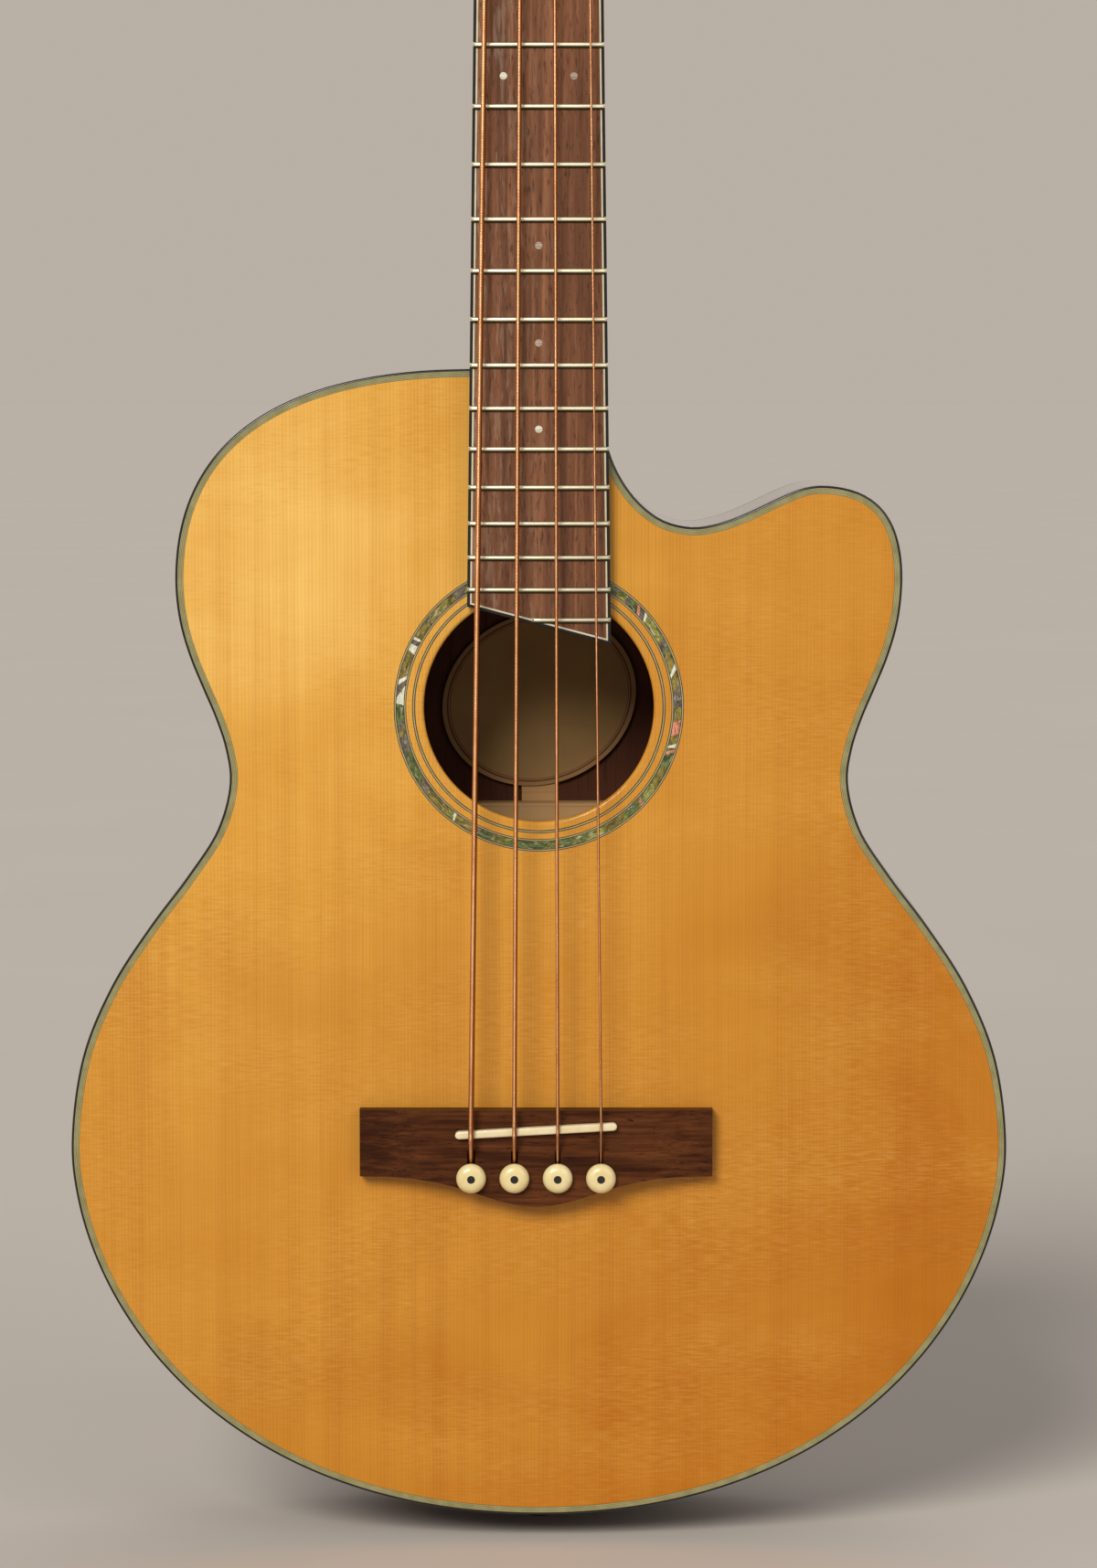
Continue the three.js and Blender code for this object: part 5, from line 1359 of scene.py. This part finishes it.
def eased(node, finish, width, name=None, segments=2, crease=38, refine=None, broad=None):
    """A copy of a solid with a bevel of this width.

    refine may change its mesh first, and faces larger than broad are shaded flat.
    """
    mesh = joined_flat(node)
    if refine:
        refine(mesh)
    data = bpy.data.meshes.new(node + "_eased")
    mesh.to_mesh(data)
    mesh.free()
    if width:
        block = bpy.data.objects.new(node + "_block", data)
        scene.collection.objects.link(block)
        bevel = block.modifiers.new("edges", "BEVEL")
        bevel.width = width
        bevel.segments = segments
        bevel.limit_method = "ANGLE"
        bevel.angle_limit = real_edge
        graph = bpy.context.evaluated_depsgraph_get()
        data = bpy.data.meshes.new_from_object(block.evaluated_get(graph))
        bpy.data.objects.remove(block)
    piece = piece_of(name or node + "_eased", data, [finish], [node], crease=crease)
    if broad:
        piece.data.polygons.foreach_set("use_smooth", [face.area < broad for face in piece.data.polygons])

# %% Round copies
def subdivide(mesh, chords, cuts, moved):
    """Cuts straight edges and moves the new points onto the curve that the edges stand for."""
    old = set(mesh.verts)
    bmesh.ops.subdivide_edges(mesh, edges=chords, cuts=cuts)
    for vert in mesh.verts:
        if vert not in old:
            vert.co = moved(vert.co)


same_rim = 0.02 * MM
near_rim = 0.05 * MM
longest_chord = 1.1


def rounder(centre, axis, cuts=3):
    """A refinement that makes the polygons about an axis into circles.

    A chord is an edge whose ends share a level and a radius, and which is no longer than
    longest_chord times that radius.
    """
    axis = Vector(axis).normalized()

    def level_radius(place):
        level = (place - centre).dot(axis)
        return level, (place - centre - axis * level).length

    def refine(mesh):
        rims = set()
        chords = []
        for edge in mesh.edges:
            (low, near), (high, far) = [level_radius(vert.co) for vert in edge.verts]
            on_rim = abs(low - high) < same_rim and abs(near - far) < same_rim
            if on_rim and edge.calc_length() < near * longest_chord:
                chords.append(edge)
                rims.add((low, near))

        def moved(place):
            level, radius = level_radius(place)
            beside = [rim for height, rim in rims if abs(height - level) < near_rim]
            outer = [rim for rim in beside if rim > radius - weld_distance]
            outwards = place - centre - axis * level
            return place + outwards * (min(outer, default=radius) / radius - 1)
        subdivide(mesh, chords, cuts, moved)
    return refine

# %% Bridge, saddle, nut and button
broad_face = 40 * MM ** 2
eased("bridge", bridge_rosewood, 0.9 * MM, "bridge_carved", segments=3, broad=broad_face)
eased("saddle", bone, 0.45 * MM, "saddle_bone", segments=3)
eased("nut", bone, 0.3 * MM, "nut_bone")
button_low, button_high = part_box("end_button")
round_button = rounder((button_low + button_high) / 2, (0, 0, 1))
eased("end_button", button_plastic, 0.3 * MM, "end_button_turned", refine=round_button)

# %% [markdown]
# Headstock
#
# The headstock leans back from the nut. Its outline is drawn with straight pieces in the
# solid, so each piece is cut in six here and the new points move onto a smooth curve
# through the old ones, on the rosewood face and on the neck's blank behind it alike.

# %% Headstock outline
overlay = joined_flat("headstock_overlay")
front_faces = [face for face in overlay.faces if face.normal.y < -0.5]
head_out = max(front_faces, key=lambda face: face.calc_area()).normal.copy()
overlay.free()
head_up = Vector((1, 0, 0)).cross(head_out)
head_up *= 1 if head_up.z > 0 else -1
head_corners = face_loops("headstock_overlay", head_out)[0]
head_curve = smooth_loop(head_corners, 0.5 * MM, corner_degrees=30)
head_plan = [(point.x, point.dot(head_up)) for point in head_curve]
corner_plan = [(point.x, point.dot(head_up)) for point in head_corners]
corner_reach = 0.3 * MM
furthest_move = 2 * MM
shortest_piece, longest_piece = 2 * MM, 40 * MM
outline_cuts = 5


def shift_to(plan, place):
    """How far right and up the nearest point of a plan lies from a place."""
    x, up = place.x, place.dot(head_up)
    near = min(plan, key=lambda point: (point[0] - x) ** 2 + (point[1] - up) ** 2)
    return near[0] - x, near[1] - up


def smooth_outline(mesh):
    """A refinement that bends the straight pieces of the headstock's outline."""
    def along_outline(edge):
        ends = [vert.co for vert in edge.verts]
        step = ends[1] - ends[0]
        level = abs(step.dot(head_out)) < same_rim and shortest_piece < step.length < longest_piece
        return level and all(math.hypot(*shift_to(corner_plan, end)) < corner_reach for end in ends)

    def moved(place):
        right, up = shift_to(head_plan, place)
        if math.hypot(right, up) > furthest_move:
            return place
        return place + Vector((right, 0, 0)) + head_up * up

    subdivide(mesh, [edge for edge in mesh.edges if along_outline(edge)], outline_cuts, moved)


shaped = {"refine": smooth_outline}
eased("neck", neck_mahogany, 0.5 * MM, "neck_shaped", **shaped)
eased("headstock_overlay", head_rosewood, 0.25 * MM, "headstock_face", broad=broad_face, **shaped)
print("headstock leans back", round(math.degrees(math.asin(abs(head_out.z))), 1), "degrees")

# %% Plain parts that keep their solids
plain = {
    "x_brace": brace_spruce,
    "transverse_brace": brace_spruce,
    "tone_bar": brace_spruce,
    "back_brace": strip_spruce,
    "back_strip": strip_spruce,
    "neck_block": cedar_wood,
    "tail_block": cedar_wood,
    "lining": cedar_wood,
    "bridge_plate": maple_wood,
    "truss_rod": rod_steel,
}
for start, finish in plain.items():
    named = [node for node in nodes if node.startswith(start)]
    for node in named:
        nodes[node].material_slots[0].material = finish
    print(start, "parts:", len(named))

# %% [markdown]
# Bridge pins
#
# The pins are turned from cream plastic: a broad domed head with a black dot let into its
# middle, and a tapered shaft that wedges the string's ball in its hole. Each rides on its
# own body, so that it can be pulled.

# %% Pins
head_profile = [
    (1.7, 4.74), (1.8, 4.6), (3.1, 4.62), (4.3, 4.35), (5.3, 3.75), (6.05, 2.8),
    (6.4, 1.8), (6.35, 0.95), (5.9, 0.35), (5.2, 0.06), (4.15, 0.02),
]
shaft_profile = [(3.95, -0.6), (3.6, -12), (3.3, -23.6), (2.7, -25)]
dot_profile = [(0.9, 4.8), (1.62, 4.72)]
head_tall = 4.9
pin_sides = 40


def turned_pin(name):
    """A pin turned from its profile of radii and heights over the bridge, in mm."""
    low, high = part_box("bridge_pin_" + name)
    middle = (low + high) / 2
    seat = low.y + head_tall * MM

    def row(radius, height):
        reach, level = radius * MM, seat - height * MM
        return [Vector((middle.x + reach * c, level, middle.z + reach * s)) for c, s in circle(pin_sides)]

    rows = [row(*point) for point in dot_profile + head_profile + shaft_profile]
    mesh = capped_skin(rows, lambda i, j: int(i < len(dot_profile)), first_finish=1)
    finishes = [cream_plastic, button_plastic]
    piece_of(f"bridge_pin_{name}_turned", mesh, finishes, ["bridge_pin_" + name], crease=50)


for name in string_names:
    turned_pin(name)

# %% [markdown]
# Tuners
#
# The machine heads are chromed steel. Their solids already have turned posts, twisted gear
# teeth and a cut worm, so their polygons are made round. The lobed handle of each key is
# swept anew with a cushion's section, and joins the solid's own shaft. Each moving part keeps
# riding on its own body.

# %% Handle of a key
key_radius = 12.5 * MM
key_lobe = 2.8 * MM
key_shaft = 2.6 * MM
shaft_in_handle = 5.8 * MM
handle_section = [(9, 1.9), (4, 2), (2.2, 2.2), (1.2, 2.12), (0.5, 1.75), (0.12, 1.1), (0, 0)]
handle_section += [(inset, -height) for inset, height in handle_section[-2::-1]]
handle_points, steps_between, lobes = 12, 5, 3
kept_shaft = 2 * MM
rod_profile = [(1.9 * MM, 1), (shaft_in_handle - 0.5 * MM, 1), (shaft_in_handle, 0.8)]
rod_sides = 32


def key_refiner(name, side):
    """Rounds the shaft and puts a smooth handle in place of the faceted one."""
    low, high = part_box("key_worm_" + name)
    inner_x, outer_x = (low.x, high.x) if side > 0 else (high.x, low.x)
    solid = merged("key_worm_" + name)
    inner_end = [vert.co.copy() for vert in solid.verts if abs(vert.co.x - inner_x) < near_rim]
    solid.free()
    axis_point = sum(inner_end, Vector()) / len(inner_end)
    middle_x = outer_x - side * key_radius
    root_x = middle_x - side * key_radius

    def lobed(inset, height):
        """One loop of the handle, in from its outline and out from its middle plane."""
        loop = []
        for k, (c, s) in enumerate(circle(handle_points)):
            lobe = abs(math.cos(lobes * math.pi * k / handle_points))
            radius = key_radius - inset * MM - key_lobe * (1 - lobe)
            place = Vector((middle_x + side * radius * c, axis_point.y, axis_point.z))
            loop.append(place + head_up * (radius * s) + head_out * (height * MM))
        smooth = []
        for i in range(handle_points):
            four = [loop[(i + n) % handle_points] for n in (-1, 0, 1, 2)]
            smooth += [spline_point(*four, k / steps_between) for k in range(steps_between)]
        return smooth

    def refine(mesh):
        cut = Vector((root_x + side * kept_shaft, 0, 0))
        parts = mesh.verts[:] + mesh.edges[:] + mesh.faces[:]
        bmesh.ops.bisect_plane(mesh, geom=parts, plane_co=cut, plane_no=(side, 0, 0), clear_outer=True)
        bmesh.ops.holes_fill(mesh, edges=[edge for edge in mesh.edges if edge.is_boundary])
        rounder(axis_point, (1, 0, 0))(mesh)
        capped_skin([lobed(*point) for point in handle_section], mesh=mesh)
        root = Vector((root_x, axis_point.y, axis_point.z))
        route = [root + Vector((side * reach, 0, 0)) for reach, share in rod_profile]
        capped_skin(tube_rows(route, lambda i: key_shaft * rod_profile[i][1], rod_sides), mesh=mesh)
    return refine

# %% Chromed parts
for name in string_names:
    ferrule_rim = face_loops("ferrule_" + name, head_out)[0]
    post_centre = sum(ferrule_rim, Vector()) / len(ferrule_rim)
    round_post = rounder(post_centre, head_out)
    side = 1 if post_centre.x > 0 else -1
    eased("tuner_plate_" + name, tuner_chrome, 0.25 * MM, broad=broad_face)
    eased("gear_post_" + name, tuner_chrome, 0, refine=round_post)
    eased("key_worm_" + name, tuner_chrome, 0, crease=50, refine=key_refiner(name, side))
    eased("ferrule_" + name, tuner_chrome, 0.2 * MM, refine=round_post)

# %% [markdown]
# Label
#
# The paper label inside the hole is bare but for a border: one thick and one thin line that
# follow its oval. It lies on the leaning back, so its plane is taken from its solid.

# %% Label
label_front = face_loops("label", (0, -1, 0))[0]
label_middle = sum(label_front, Vector()) / len(label_front)
label_top = max(label_front, key=lambda point: point.z)
label_side = max(label_front, key=lambda point: point.x)
half_wide = label_side.x - label_middle.x
half_tall = label_top - label_middle
paper_thick = 0.4 * MM
band_edges = [1, 0.955, 0.938, 0.925, 0.918, 0.6, 0.3]
inked_rows = (2, 4)
label_turns = circle(96)


def label_row(share, depth=0):
    """The label's oval made smaller by a share, at a depth behind its face."""
    wide = half_wide * share
    return [label_middle + Vector((wide * c, depth, 0)) + half_tall * (share * s) for c, s in label_turns]


rows = [label_row(1, paper_thick)] + [label_row(share) for share in band_edges]
label_mesh = capped_skin(rows, lambda i, j: int(i in inked_rows))
piece_of("label_oval", label_mesh, [label_paper, label_ink], ["label"])
